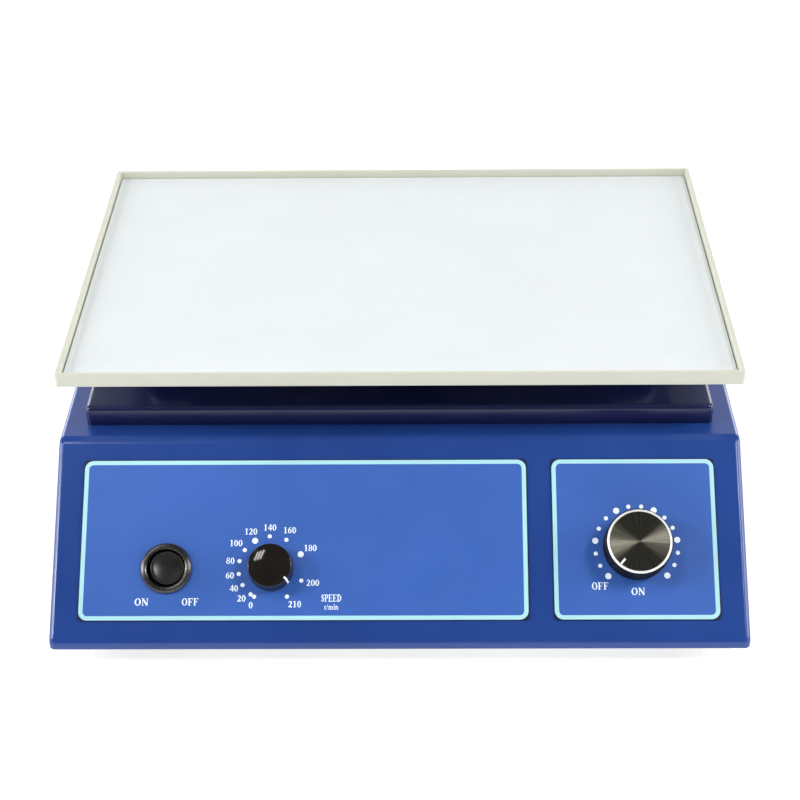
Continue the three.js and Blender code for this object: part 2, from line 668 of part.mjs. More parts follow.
// ---- electrics ----------------------------------------------------------------------
// The board carries a relay, a capacitor and a heat sink.
function controlBoard() {
  const { x0, x1, y0, y1, z } = BOARD;
  const thickness = 1.6;
  const seat = z + 1;
  return joined([
    block(x0, x1, y0, y1, z, z + thickness),
    block(x0 + 8, x0 + 28, y0 + 30, y0 + 46, seat, z + 17),
    rod(x0 + 46, y0 + 18, 8, seat, z + 24, COARSE),
    block(x1 - 20, x1 - 6, y0 + 8, y1 - 8, seat, z + 12),
  ]);
}

// A foot plate, the laminated core, and the winding that shows on two sides of it.
function transformer() {
  const floor = FOOT_HEIGHT + FLOOR_PLATE.lift + FLOOR_PLATE.thickness + GAP;
  return joined([
    block(44, 96, 72, 112, floor, floor + 2),
    block(48, 92, 74, 110, floor + 1, floor + 32),
    block(56, 84, 68, 116, floor + 6, floor + 27),
  ]);
}

function powerInlet() {
  const { halfWidth, low, high, depth } = CAVITY;
  const halfW = INLET.width / 2;
  const halfH = INLET.height / 2;
  const shell = INLET_BODY;
  const face = INLET_FACE_Y;
  const body = joined([
    block(-halfW, halfW, CASE_BACK_Y + GAP, face, -halfH, halfH),
    block(
      -shell.halfWidth, shell.halfWidth,
      CASE_BACK_Y - shell.depth, CASE_BACK_Y + 1,
      -shell.halfHeight, shell.halfHeight,
    ),
  ]);
  const cavity = block(-halfWidth, halfWidth, face - depth, face + 1, low, high);
  const slot = block(
    -DRAWER.halfWidth - DRAWER_GAP, DRAWER.halfWidth + DRAWER_GAP,
    face - DRAWER.depth - 0.5, face + 1,
    DRAWER.low - DRAWER_GAP, DRAWER.high + DRAWER_GAP,
  );
  return cut(body, [cavity, slot, ...inletPins(0.15)]);
}

// Two mains blades side by side and an earth blade above and between them.
function inletPins(margin) {
  const halfX = BLADE.halfWidth + margin;
  const halfZ = BLADE.halfHeight + margin;
  const tip = INLET_FACE_Y - BLADE.recess + margin;
  const places = [[-7, 6.6], [7, 6.6], [0, 11.6]];
  return places.map(([x, z]) => block(
    x - halfX, x + halfX, CASE_BACK_Y - BLADE.tail, tip, z - halfZ, z + halfZ,
  ));
}

const rear = new THREE.Group();
rear.position.set(INLET.x, 0, INLET.z);
shaker.add(rear);
add(shaker, 'control_board', controlBoard(), ...GREEN_BOARD);
add(shaker, 'transformer', transformer(), ...STEEL);
add(rear, 'power_inlet', powerInlet(), ...BLACK_PLASTIC);
inletPins(0).forEach((pin, i) => {
  add(rear, `inlet_${['neutral', 'live', 'earth'][i]}_pin`, pin, ...BRASS);
});
const drawer = block(
  -DRAWER.halfWidth, DRAWER.halfWidth,
  INLET_FACE_Y - DRAWER.depth, INLET_FACE_Y,
  DRAWER.low, DRAWER.high,
);
add(rear, 'fuse_drawer', drawer, ...BLACK_PLASTIC);

// ---- platform -----------------------------------------------------------------------
const platform = new THREE.Group();
platform.position.set(PIN_X, DECK_CENTRE_Y + PIN_Y, 0);
shaker.add(platform);

function tray() {
  const x = TRAY_WIDTH / 2;
  const y = TRAY_DEPTH / 2;
  const top = TRAY_BOTTOM_Z + TRAY_HEIGHT;
  const outer = slab(roundedOutline(-x, x, -y, y, TRAY_CORNER), TRAY_BOTTOM_Z, top, TRAY_EDGE);
  const inner = roundedOutline(-x + TRAY_WALL, x - TRAY_WALL, -y + TRAY_WALL, y - TRAY_WALL, 1);
  return outer.subtract(slab(inner, TRAY_BOTTOM_Z + TRAY_FLOOR, top + 1));
}

function trayMat() {
  const x = TRAY_WIDTH / 2 - TRAY_WALL - MAT_MARGIN;
  const y = TRAY_DEPTH / 2 - TRAY_WALL - MAT_MARGIN;
  const z0 = TRAY_BOTTOM_Z + TRAY_FLOOR + GAP;
  return slab(roundedOutline(-x, x, -y, y, 1.5), z0, z0 + MAT_THICKNESS);
}

function carrierPlate() {
  const { halfWidth, halfDepth, corner, bottom } = CARRIER;
  const outline = roundedOutline(-halfWidth, halfWidth, -halfDepth, halfDepth, corner);
  return slab(outline, bottom, TRAY_BOTTOM_Z - GAP);
}

add(platform, 'carrier_plate', carrierPlate(), ...ZINC);
add(platform, 'tray', tray(), ...CREAM_PAINT);
add(platform, 'tray_mat', trayMat(), ...MAT_RUBBER);

export default shaker;
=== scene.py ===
"""Orbital shaker: the looks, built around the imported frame. Meshes are made in millimetres."""
import json
import math

import bmesh
import bpy
from mathutils import Matrix, Vector


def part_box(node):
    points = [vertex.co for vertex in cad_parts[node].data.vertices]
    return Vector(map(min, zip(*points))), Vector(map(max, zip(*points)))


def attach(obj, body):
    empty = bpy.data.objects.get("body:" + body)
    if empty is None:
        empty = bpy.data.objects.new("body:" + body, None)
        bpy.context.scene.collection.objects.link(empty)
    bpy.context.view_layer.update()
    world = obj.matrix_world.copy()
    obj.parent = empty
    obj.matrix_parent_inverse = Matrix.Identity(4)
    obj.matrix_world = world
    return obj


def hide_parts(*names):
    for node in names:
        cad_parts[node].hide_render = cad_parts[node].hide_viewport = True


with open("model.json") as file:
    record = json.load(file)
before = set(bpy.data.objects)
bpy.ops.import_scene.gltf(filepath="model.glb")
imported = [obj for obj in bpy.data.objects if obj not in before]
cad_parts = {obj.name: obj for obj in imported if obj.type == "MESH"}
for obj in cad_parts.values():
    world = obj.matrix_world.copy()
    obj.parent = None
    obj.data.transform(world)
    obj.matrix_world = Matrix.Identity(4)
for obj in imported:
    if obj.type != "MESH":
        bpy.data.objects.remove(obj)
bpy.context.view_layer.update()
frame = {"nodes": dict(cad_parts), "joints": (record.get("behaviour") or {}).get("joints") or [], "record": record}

MM = 0.001
SCENE = bpy.context.scene
IDENTITY = Matrix.Identity(4)


# ---- places from the frame ----------------------------------------------------------
def box(node):
    """Lowest and highest corner of a CAD node, in millimetres."""
    low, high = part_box(node)
    return low / MM, high / MM


def joint(name):
    return next(j for j in frame["joints"] if j["name"] == name)


def joint_place(name):
    return Vector(joint(name)["pos_m"]) / MM


CASE_LOW, CASE_HIGH = box("housing_cover")
DECK_LOW, DECK_HIGH = box("deck_cover")
TRAY_LOW, TRAY_HIGH = box("tray")
MAT_LOW, MAT_HIGH = box("tray_mat")

# The sloping panel: its outward normal, and a point on it under the speed knob.
PANEL_OUT = Vector(joint("speed_turn")["axis"]).normalized()
PANEL_UP = Vector((0, PANEL_OUT.z, -PANEL_OUT.y))
PANEL_SLOPE = PANEL_UP.z / PANEL_UP.y
SPEED_PLACE = joint_place("speed_turn")
TIMER_PLACE = joint_place("timer_turn")
SWITCH_PIVOT = joint_place("switch_rock")
FOLD_Y = SPEED_PLACE.y + (CASE_HIGH.z - SPEED_PLACE.z) / PANEL_SLOPE
LIP_Z = SPEED_PLACE.z + (CASE_LOW.y - SPEED_PLACE.y) * PANEL_SLOPE
SHEET = 1.2
FILM_FACE = 0.4


def panel_frame(point):
    """Matrix of the panel's axes at a point given in millimetres: x right, y up it, z out of it."""
    axes = Matrix((Vector((1, 0, 0)), PANEL_UP, PANEL_OUT)).transposed().to_4x4()
    return Matrix.Translation(point * MM) @ axes


# ---- camera -------------------------------------------------------------------------
CAMERA_AT = Vector((10.9, -748.4, 548.5)) * MM
CAMERA_DOWN = math.radians(33.68)
CAMERA_LEFT = math.radians(0.86)
CAMERA_ROLL = math.radians(0.69)
LENS = 80.0


def add_camera():
    down, left, roll = CAMERA_DOWN, CAMERA_LEFT, CAMERA_ROLL
    ahead = Vector((
        -math.sin(left) * math.cos(down),
        math.cos(left) * math.cos(down),
        -math.sin(down),
    ))
    level = Vector((math.cos(left), math.sin(left), 0))
    upright = level.cross(ahead)
    right = level * math.cos(roll) - upright * math.sin(roll)
    up = level * math.sin(roll) + upright * math.cos(roll)
    data = bpy.data.cameras.new("camera")
    data.lens = LENS
    data.sensor_width = 36
    camera = bpy.data.objects.new("camera", data)
    SCENE.collection.objects.link(camera)
    turn = Matrix((right, up, -ahead)).transposed().to_4x4()
    camera.matrix_world = Matrix.Translation(CAMERA_AT) @ turn
    SCENE.camera = camera


# ---- stage --------------------------------------------------------------------------
FLOOR_REACH = 40


def area_light(name, at, size, power, target=(0, 0, 0.06), upright=(0, 0, 1)):
    """A soft panel facing its target, with its second side along the upright direction."""
    data = bpy.data.lights.new(name, "AREA")
    data.shape = "RECTANGLE"
    data.size, data.size_y = size
    data.energy = power
    light = bpy.data.objects.new(name, data)
    SCENE.collection.objects.link(light)
    back = (Vector(at) - Vector(target)).normalized()
    across = Vector(upright).cross(back).normalized()
    turn = Matrix((across, back.cross(across), back)).transposed().to_4x4()
    light.matrix_world = Matrix.Translation(at) @ turn


def add_stage():
    world = bpy.data.worlds.new("studio")
    world.use_nodes = True
    backdrop = world.node_tree.nodes["Background"]
    backdrop.inputs["Color"].default_value = (0.95, 0.96, 1.0, 1)
    backdrop.inputs["Strength"].default_value = 0.14
    SCENE.world = world
    SCENE.view_settings.view_transform = "Standard"
    area_light("key_right_low", (1.0, -0.7, 1.35), (0.3, 0.3), 5.5)
    area_light("key_right_high", (1.12, -0.5, 1.55), (0.35, 0.3), 5)
    area_light("key_left", (-1.4, -0.6, 1.0), (0.3, 0.3), 7)
    area_light("side_left", (-1.8, -0.1, 0.62), (1.0, 0.8), 17)
    area_light("side_right", (1.8, -0.1, 0.62), (1.0, 0.8), 17)
    area_light("rear_wall", (0.0, 1.9, 0.9), (3.6, 1.8), 21)
    area_light("rear_strip_left", (-1.15, 1.6, 0.35), (0.5, 0.5), 4)
    area_light("rear_strip_right", (1.15, 1.6, 0.35), (0.5, 0.5), 4)
    leaning = PANEL_UP + Vector((0.3, 0, 0))
    for i in range(3):
        at = (-0.82 + 0.15 * i, -0.44 + 0.02 * i, 1.48)
        target = (-0.058, -0.118, 0.045)
        area_light(f"window_pane_{i + 1}", at, (0.08, 0.46), 1.5, target, leaning)
    bm = bmesh.new()
    bmesh.ops.create_grid(bm, x_segments=1, y_segments=1, size=FLOOR_REACH)
    mesh = bpy.data.meshes.new("floor")
    bm.to_mesh(mesh)
    bm.free()
    floor = bpy.data.objects.new("floor", mesh)
    SCENE.collection.objects.link(floor)
    material = bpy.data.materials.new("floor")
    material.use_nodes = True
    shader = material.node_tree.nodes["Principled BSDF"]
    shader.inputs["Base Color"].default_value = (0.8, 0.8, 0.8, 1)
    shader.inputs["Emission Color"].default_value = (1, 1, 1, 1)
    shader.inputs["Emission Strength"].default_value = 0.6
    shader.inputs["Roughness"].default_value = 0.9
    mesh.materials.append(material)


# ---- materials ----------------------------------------------------------------------
def linear(red, green, blue):
    """A colour given in 0-255 screen values, as the linear values that shaders take."""
    def channel(value):
        value /= 255
        return value / 12.92 if value <= 0.04045 else ((value + 0.055) / 1.055) ** 2.4
    return (channel(red), channel(green), channel(blue))


def shade(colour, factor):
    return tuple(min(1.0, c * factor) for c in colour)


SPECK_SCALE = 90


class Look:
    """A node material with helpers for layered colour, roughness and bump."""

    def __init__(self, name, roughness, **sockets):
        self.material = bpy.data.materials.new(name)
        self.material.use_nodes = True
        self.nodes = self.material.node_tree.nodes
        self.links = self.material.node_tree.links
        self.shader = self.nodes["Principled BSDF"]
        self.shader.inputs["Roughness"].default_value = roughness
        for socket, value in sockets.items():
            self.shader.inputs[socket.replace("_", " ")].default_value = value
        self.roughness = roughness
        self.place = self.nodes.new("ShaderNodeTexCoord").outputs["Object"]
        self.height = None

    def noise(self, scale, detail=3.0, roughness=0.55, stretch=None):
        source = self.place
        if stretch:
            mapping = self.nodes.new("ShaderNodeMapping")
            mapping.inputs["Scale"].default_value = stretch
            self.links.new(self.place, mapping.inputs["Vector"])
            source = mapping.outputs["Vector"]
        node = self.nodes.new("ShaderNodeTexNoise")
        node.inputs["Scale"].default_value = scale
        node.inputs["Detail"].default_value = detail
        node.inputs["Roughness"].default_value = roughness
        self.links.new(source, node.inputs["Vector"])
        return node.outputs["Fac"]

    def cells(self, scale):
        node = self.nodes.new("ShaderNodeTexVoronoi")
        node.inputs["Scale"].default_value = scale
        self.links.new(self.place, node.inputs["Vector"])
        return node.outputs["Distance"]

    def specks(self):
        """A few tiny chips and dust specks: the middles of a few random cells."""
        node = self.nodes.new("ShaderNodeTexVoronoi")
        node.inputs["Scale"].default_value = SPECK_SCALE
        self.links.new(self.place, node.inputs["Vector"])
        shown = self.spread(node.outputs["Color"], 0.86, 0.87)
        near = self.spread(node.outputs["Distance"], 0.03, 0.05, 1, 0)
        both = self.nodes.new("ShaderNodeMath")
        both.operation = "MULTIPLY"
        self.links.new(shown, both.inputs[0])
        self.links.new(near, both.inputs[1])
        return both.outputs[0]

    def spokes(self, count):
        """Fine uneven rays from the piece's own z axis."""
        angle = self.nodes.new("ShaderNodeTexGradient")
        angle.gradient_type = "RADIAL"
        self.links.new(self.place, angle.inputs["Vector"])
        node = self.nodes.new("ShaderNodeTexNoise")
        node.noise_dimensions = "1D"
        node.inputs["Scale"].default_value = count
        node.inputs["Detail"].default_value = 2
        self.links.new(angle.outputs["Fac"], node.inputs["W"])
        return self.spread(node.outputs["Fac"], 0.35, 0.6)

    def spread(self, value, low, high, out_low=0.0, out_high=1.0):
        node = self.nodes.new("ShaderNodeMapRange")
        node.inputs["From Min"].default_value = low
        node.inputs["From Max"].default_value = high
        node.inputs["To Min"].default_value = out_low
        node.inputs["To Max"].default_value = out_high
        self.links.new(value, node.inputs["Value"])
        return node.outputs["Result"]

    def mix(self, share, first, second):
        node = self.nodes.new("ShaderNodeMix")
        node.data_type = "RGBA"
        self.links.new(share, node.inputs["Factor"])
        for socket, value in ((node.inputs[6], first), (node.inputs[7], second)):
            if isinstance(value, tuple):
                socket.default_value = (*value, 1)
            else:
                self.links.new(value, socket)
        return node.outputs[2]

    def colour(self, socket):
        self.links.new(socket, self.shader.inputs["Base Color"])

    def uneven_gloss(self, value, amount):
        low, high = self.roughness - amount, self.roughness + amount
        self.links.new(self.spread(value, 0.3, 0.7, low, high), self.shader.inputs["Roughness"])

    def bump(self, value, depth):
        """Adds relief of a depth given in millimetres."""
        node = self.nodes.new("ShaderNodeBump")
        node.inputs["Strength"].default_value = 1.0
        node.inputs["Distance"].default_value = depth * MM
        self.links.new(value, node.inputs["Height"])
        if self.height:
            self.links.new(self.height, node.inputs["Normal"])
        self.height = node.outputs["Normal"]
        self.links.new(self.height, self.shader.inputs["Normal"])


def painted(name, colour, roughness, variation=0.08, orange_peel=0.004, **sockets):
    """Sprayed or powder-coated metal: soft tone changes, a faint orange peel and dust specks."""
    look = Look(name, roughness, **sockets)
    tones = look.mix(
        look.spread(look.noise(9, 4), 0.35, 0.65),
        shade(colour, 1 - variation), shade(colour, 1 + variation),
    )
    look.colour(look.mix(look.specks(), tones, shade(colour, 4)))
    look.uneven_gloss(look.noise(35, 4), 0.04)
    look.bump(look.noise(420, 2), orange_peel)
    return look.material


def metal(name, colour, roughness, turned=None, grain=0.006, **sockets):
    """Bare metal with fine machining marks, stretched along one axis for sheet."""
    look = Look(name, roughness, Metallic=1.0, **sockets)
    stretch = turned or (1, 1, 1)
    streaks = look.noise(500, 3, 0.6, stretch)
    look.colour(look.mix(
        look.spread(look.noise(40, 4), 0.35, 0.65), shade(colour, 0.82), shade(colour, 1.08)))
    look.uneven_gloss(streaks, 0.09)
    look.bump(streaks, grain)
    return look.material


def moulded(name, colour, roughness, grain=0.01, grain_scale=900, **sockets):
    """Moulded plastic or rubber: fine spark texture and slight tone changes."""
    look = Look(name, roughness, **sockets)
    look.colour(look.mix(
        look.spread(look.noise(60, 3), 0.35, 0.65), shade(colour, 0.8), shade(colour, 1.25)))
    look.uneven_gloss(look.noise(150, 3), roughness * 0.15)
    if grain:
        look.bump(look.noise(grain_scale, 2), grain)
    return look.material


BLUE = (0.018, 0.064, 0.3)
# The deck's paint: a darker copy of the case blue, partly painted shade from the tray that overhangs the deck.
DECK_BLUE_AND_SHADE = (0.012, 0.018, 0.09)
CREAM = linear(221, 223, 206)
FILM_BLUE = (0.0435, 0.142, 0.54)
BORDER_BLUE = (0.5, 0.9, 1.0)
MAT_WHITE = linear(240, 245, 246)
INK_WHITE = (0.84, 0.93, 1.0)


def mat_look():
    """Non-slip rubber mat with a fine pebbled face."""
    look = Look("mat_surface", 0.85)
    pebbles = look.cells(700)
    tone = look.mix(
        look.spread(look.noise(30, 5), 0.3, 0.7), shade(MAT_WHITE, 0.965), MAT_WHITE)
    look.colour(look.mix(
        look.spread(pebbles, 0.1, 0.9, 0, 0.25), tone, shade(MAT_WHITE, 0.86)))
    look.bump(pebbles, 0.05)
    look.bump(look.noise(1500, 2), 0.02)
    return look.material


def film_look(name, colour, roughness=0.42):
    """Printed polyester film: a fine matt grain with faint scuffs."""
    look = Look(name, roughness)
    scuffs = look.spread(look.noise(140, 5, 0.7, (1, 0.3, 1)), 0.66, 0.8, 0, 0.25)
    tone = look.mix(
        look.spread(look.noise(14, 4), 0.3, 0.7), shade(colour, 0.93), shade(colour, 1.07))
    look.colour(look.mix(scuffs, tone, shade(colour, 1.3)))
    look.uneven_gloss(look.noise(60, 4), 0.05)
    look.bump(look.noise(1300, 2), 0.006)
    return look.material


def ink_look(name, colour):
    """White screen ink that glows faintly in its own colour: painted light that keeps it bright where shade falls
    on the slanted panel.
    """
    look = Look(name, 0.5, Emission_Color=(*colour, 1), Emission_Strength=0.28)
    look.colour(look.mix(
        look.spread(look.noise(200, 3), 0.3, 0.7), shade(colour, 0.96), shade(colour, 1.04)))
    look.bump(look.noise(1300, 2), 0.004)
    return look.material


def spun_look(name, colour, roughness, anisotropy):
    """A face turned on a lathe: rings of fine grooves round the piece's own z axis."""
    look = Look(name, roughness, Metallic=1.0, Anisotropic=anisotropy, Anisotropic_Rotation=0.25)
    tangent = look.nodes.new("ShaderNodeTangent")
    tangent.direction_type = "RADIAL"
    tangent.axis = "Z"
    look.links.new(tangent.outputs["Tangent"], look.shader.inputs["Tangent"])
    rings = look.nodes.new("ShaderNodeTexWave")
    rings.wave_type = "RINGS"
    rings.rings_direction = "Z"
    rings.inputs["Scale"].default_value = 900
    rings.inputs["Distortion"].default_value = 0.4
    look.links.new(look.place, rings.inputs["Vector"])
    turned = look.mix(
        look.spread(rings.outputs["Fac"], 0, 1, 0.2, 0.8), shade(colour, 0.85), shade(colour, 1.1))
    look.colour(look.mix(look.spokes(70), shade(colour, 0.68), turned))
    look.bump(rings.outputs["Fac"], 0.003)
    return look.material


LOOKS = {
    "case": painted("case_paint_surface", BLUE, 0.2),
    # The deck's darker blue paints in part the shade under the tray.
    "deck": painted("deck_paint_and_shade_surface", DECK_BLUE_AND_SHADE, 0.22),
    "cream": painted("tray_paint_surface", CREAM, 0.42, variation=0.03),
    "mat": mat_look(),
    "film": film_look("film_field", FILM_BLUE),
    # Dark navy on the film's side and outer margin: painted shade of the recess round the film's edge.
    "film_edge_painted_shade": film_look("film_edge_painted_shade", linear(10, 20, 60)),
    "border": film_look("film_border", BORDER_BLUE),
    # The ink's emission is painted light: a faint glow that keeps the print bright in shade.
    "ink": ink_look("film_ink_glowing", INK_WHITE),
    "knob": moulded("knob_plastic_surface", linear(26, 22, 17), 0.08, grain=0.0),
    "knob_side": moulded("knob_side_surface", linear(14, 12, 11), 0.5, grain=0.004,
                         Specular_IOR_Level=0.15),
    "bezel": spun_look("bezel_spun", linear(104, 102, 100), 0.34, 0.8),
    "rocker": moulded("rocker_plastic_surface", linear(34, 34, 34), 0.27, grain=0.003),
    "oxide": metal("black_oxide_surface", linear(44, 42, 40), 0.55),
    "rubber": moulded("foot_rubber_surface", linear(30, 30, 31), 0.75, grain=0.03, grain_scale=500),
    "inlet": moulded("inlet_plastic_surface", linear(26, 26, 27), 0.5, grain=0.012),
    "face": spun_look("timer_face_spun", linear(114, 112, 100), 0.3, 1.0),
    "rim": painted("timer_rim_cut", linear(253, 253, 251), 0.3, 0.02, 0.001, Metallic=0.12),
    "steel": metal("steel_surface", linear(190, 192, 196), 0.3),
    "alloy": metal("alloy_surface", linear(205, 207, 210), 0.34),
    "zinc": metal("zinc_plate_surface", linear(196, 198, 196), 0.38, turned=(1, 0.15, 1)),
    "brass": metal("brass_surface", linear(205, 168, 92), 0.28),
    "board": moulded("board_surface", linear(24, 92, 48), 0.35),
    "core": metal("core_surface", linear(92, 90, 92), 0.5),
    "motor": painted("motor_surface", linear(48, 49, 52), 0.4),
}


# ---- mesh helpers -------------------------------------------------------------------
CRISP = math.radians(32)


def rounded(corners, steps=5, closed=True):
    """The outline through corners of (x, y) or (x, y, radius), with an arc at each radius."""
    points = []
    count = len(corners)
    for i, corner in enumerate(corners):
        here = Vector(corner[:2])
        radius = corner[2] if len(corner) > 2 else 0
        at_end = not closed and i in (0, count - 1)
        if not radius or at_end:
            points.append(tuple(here))
            continue
        to_last = (Vector(corners[i - 1][:2]) - here).normalized()
        to_next = (Vector(corners[(i + 1) % count][:2]) - here).normalized()
        half = to_last.angle(to_next) / 2
        centre = here + (to_last + to_next).normalized() * (radius / math.sin(half))
        start = here + to_last * (radius / math.tan(half)) - centre
        end = here + to_next * (radius / math.tan(half)) - centre
        sweep = start.angle_signed(end)
        for k in range(steps + 1):
            turned = start.copy()
            turned.rotate(Matrix.Rotation(-sweep * k / steps, 2))
            points.append(tuple(centre + turned))
    return points


def lathe(profile, steps=72, radius_of=None):
    """Turns (radius, z) points round z. A profile that is off the axis closes on itself."""
    bm = bmesh.new()
    rings = []
    for radius, z in profile:
        if radius < 1e-9:
            rings.append([bm.verts.new((0, 0, z))])
            continue
        ring = []
        for k in range(steps):
            angle = 2 * math.pi * k / steps
            reach = radius_of(radius, z, angle) if radius_of else radius
            ring.append(bm.verts.new((reach * math.cos(angle), reach * math.sin(angle), z)))
        rings.append(ring)
    pairs = list(zip(rings, rings[1:]))
    if len(rings[0]) > 1:
        pairs.append((rings[-1], rings[0]))
    for low, high in pairs:
        for k in range(steps):
            after = (k + 1) % steps
            corners = [low[k % len(low)], low[after % len(low)],
                       high[after % len(high)], high[k % len(high)]]
            unique = list(dict.fromkeys(corners))
            if len(unique) > 2:
                bm.faces.new(unique)
    bmesh.ops.recalc_face_normals(bm, faces=bm.faces)
    return bm


def prism(outline, z0, z1):
    """A straight solid between two levels over a closed outline."""
    bm = bmesh.new()
    low = [bm.verts.new((x, y, z0)) for x, y in outline]
    high = [bm.verts.new((x, y, z1)) for x, y in outline]
    bm.faces.new(low[::-1])
    bm.faces.new(high)
    for i in range(len(outline)):
        j = (i + 1) % len(outline)
        bm.faces.new((low[i], low[j], high[j], high[i]))
    bmesh.ops.recalc_face_normals(bm, faces=bm.faces)
    return bm


def plate_outline(x0, x1, y0, y1, radius, steps=5):
    corners = [(x0, y0, radius), (x1, y0, radius), (x1, y1, radius), (x0, y1, radius)]
    return rounded(corners, steps)


def block(x0, x1, y0, y1, z0, z1):
    return prism([(x0, y0), (x1, y0), (x1, y1), (x0, y1)], z0, z1)


def rod(x, y, radius, z0, z1, steps=48):
    bm = lathe([(0, z0), (radius, z0), (radius, z1), (0, z1)], steps)
    bmesh.ops.translate(bm, vec=(x, y, 0), verts=bm.verts)
    return bm


def bevel(bm, width, chosen, segments=4):
    """Rounds the edges for which chosen(edge) is true."""
    edges = [e for e in bm.edges if chosen(e)]
    bmesh.ops.bevel(
        bm, geom=edges, offset=width, segments=segments, profile=0.5,
        affect="EDGES", clamp_overlap=True)
    return bm


def sharp(edge, limit=math.radians(30)):
    return len(edge.link_faces) == 2 and edge.calc_face_angle(0) > limit


def at_level(z, tolerance=1e-3):
    return lambda e: all(abs(v.co.z - z) < tolerance for v in e.verts) and sharp(e)


def moved(bm, matrix):
    bmesh.ops.transform(bm, matrix=matrix, verts=bm.verts)
    return bm


def gathered(parts):
    """Several shapes in one mesh, left as separate shells."""
    whole = bmesh.new()
    for part in parts:
        mesh = bpy.data.meshes.new("part")
        part.to_mesh(mesh)
        part.free()
        whole.from_mesh(mesh)
        bpy.data.meshes.remove(mesh)
    return whole


def temporary(bm):
    mesh = bpy.data.meshes.new("temporary")
    bm.to_mesh(mesh)
    bm.free()
    item = bpy.data.objects.new("temporary", mesh)
    SCENE.collection.objects.link(item)
    return item


def combined(body, tools, operation):
    """body with tools cut from it or joined to it."""
    target = temporary(body)
    tool = temporary(gathered(tools))
    modifier = target.modifiers.new("boolean", "BOOLEAN")
    modifier.operation = operation
    modifier.solver = "EXACT"
    modifier.use_self = operation == "UNION"
    modifier.object = tool
    bpy.context.view_layer.update()
    result = bmesh.new()
    result.from_object(target, bpy.context.evaluated_depsgraph_get())
    for item in (target, tool):
        mesh = item.data
        bpy.data.objects.remove(item)
        bpy.data.meshes.remove(mesh)
    bmesh.ops.remove_doubles(result, verts=result.verts, dist=1e-4)
    return result


def cut(body, tools):
    return combined(body, tools, "DIFFERENCE")


def union(parts):
    return combined(parts[0], parts[1:], "UNION")


def piece(name, bm, looks, body, replaces=None, at=IDENTITY):
    """A finished object: smooth faces with crisp edges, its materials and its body."""
    bmesh.ops.transform(bm, matrix=Matrix.Scale(MM, 4), verts=bm.verts)
    for face in bm.faces:
        face.smooth = True
    for edge in bm.edges:
        edge.smooth = not sharp(edge, CRISP)
    mesh = bpy.data.meshes.new(name)
    bm.to_mesh(mesh)
    bm.free()
    for look in [looks] if isinstance(looks, str) else looks:
        mesh.materials.append(LOOKS[look])
    item = bpy.data.objects.new(name, mesh)
    SCENE.collection.objects.link(item)
    item.matrix_world = at
    weights = item.modifiers.new("normals", "WEIGHTED_NORMAL")
    weights.keep_sharp = True
    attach(item, body)
    if replaces:
        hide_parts(replaces)


# ---- case ---------------------------------------------------------------------------
SIDE_TO_ROW = Matrix(((0, 0, 1, 0), (1, 0, 0, 0), (0, 1, 0, 0), (0, 0, 0, 1)))
CASE_ROUND = 2.8
MAIN_SHAFT_HOLE = 10
IDLER_SHAFT_HOLE = 7
SWITCH_HOLE = 10.4
SPEED_HOLE = 4.9
TIMER_HOLE = 5.4
VENT_COUNT = 10
VENT_LEFT = -118
VENT_PITCH = 9
VENT_WIDTH = 4
VENT_LOW = 30
VENT_HIGH = 58


def crank_places():
    main = joint_place("crank_spin")
    idlers = [joint_place(f"idler_spin_{i}") for i in range(1, 5)]
    return main, idlers


def shaft_holes(level):
    """Rods that cut the crank shafts' holes through sheet at a level."""
    main, idlers = crank_places()
    low, high = level - 4, level + 4
    return [rod(main.x, main.y, MAIN_SHAFT_HOLE, low, high),
            *(rod(p.x, p.y, IDLER_SHAFT_HOLE, low, high) for p in idlers)]


def case_shell():
    x0, x1 = CASE_LOW.x, CASE_HIGH.x
    front, back, top, bottom = CASE_LOW.y, CASE_HIGH.y, CASE_HIGH.z, CASE_LOW.z
    profile = [(front, bottom), (back, bottom), (back, top), (FOLD_Y, top), (front, LIP_Z)]
    shell = moved(prism(profile, x0, x1), SIDE_TO_ROW)
    on_floor = at_level(bottom)
    bevel(shell, CASE_ROUND, lambda e: sharp(e, math.radians(20)) and not on_floor(e), 8)
    sink = SHEET * math.sqrt(1 + PANEL_SLOPE ** 2)
    inner_front = front + SHEET
    hollow = [
        (inner_front, bottom - 5), (back - SHEET, bottom - 5), (back - SHEET, top - SHEET),
        (FOLD_Y + (sink - SHEET) / PANEL_SLOPE, top - SHEET),
        (inner_front, LIP_Z - sink + SHEET * PANEL_SLOPE),
    ]
    shell = cut(shell, [moved(prism(hollow, x0 + SHEET, x1 - SHEET), SIDE_TO_ROW)])
    holes = shaft_holes(top)
    upright = Matrix.Rotation(math.radians(90), 4, "X")
    for i in range(VENT_COUNT):
        x = VENT_LEFT + i * VENT_PITCH
        outline = plate_outline(
            x, x + VENT_WIDTH, VENT_LOW, VENT_HIGH, VENT_WIDTH / 2 - 0.01, 6)
        holes.append(moved(prism(outline, -back - 3, -back + 4), upright))
    low, high = box("power_inlet")
    holes.append(block(low.x + 1.6, high.x - 1.6, back - 4, back + 4, low.z + 2.6, high.z - 2.6))
    for point, radius in (
            (panel_seat(SWITCH_PIVOT), SWITCH_HOLE), (SPEED_PLACE, SPEED_HOLE),
            (TIMER_PLACE, TIMER_HOLE)):
        to_panel = panel_frame(point)
        to_panel.translation /= MM
        holes.append(moved(rod(0, 0, radius, -4, 4), to_panel))
    piece("case_shell", cut(shell, holes), "case", "base", "housing_cover")


def panel_seat(point):
    """The point on the panel's face straight out from a point behind it."""
    depth = (SPEED_PLACE - point).dot(PANEL_OUT)
    return point + PANEL_OUT * depth


DECK_ROUND = 2.4


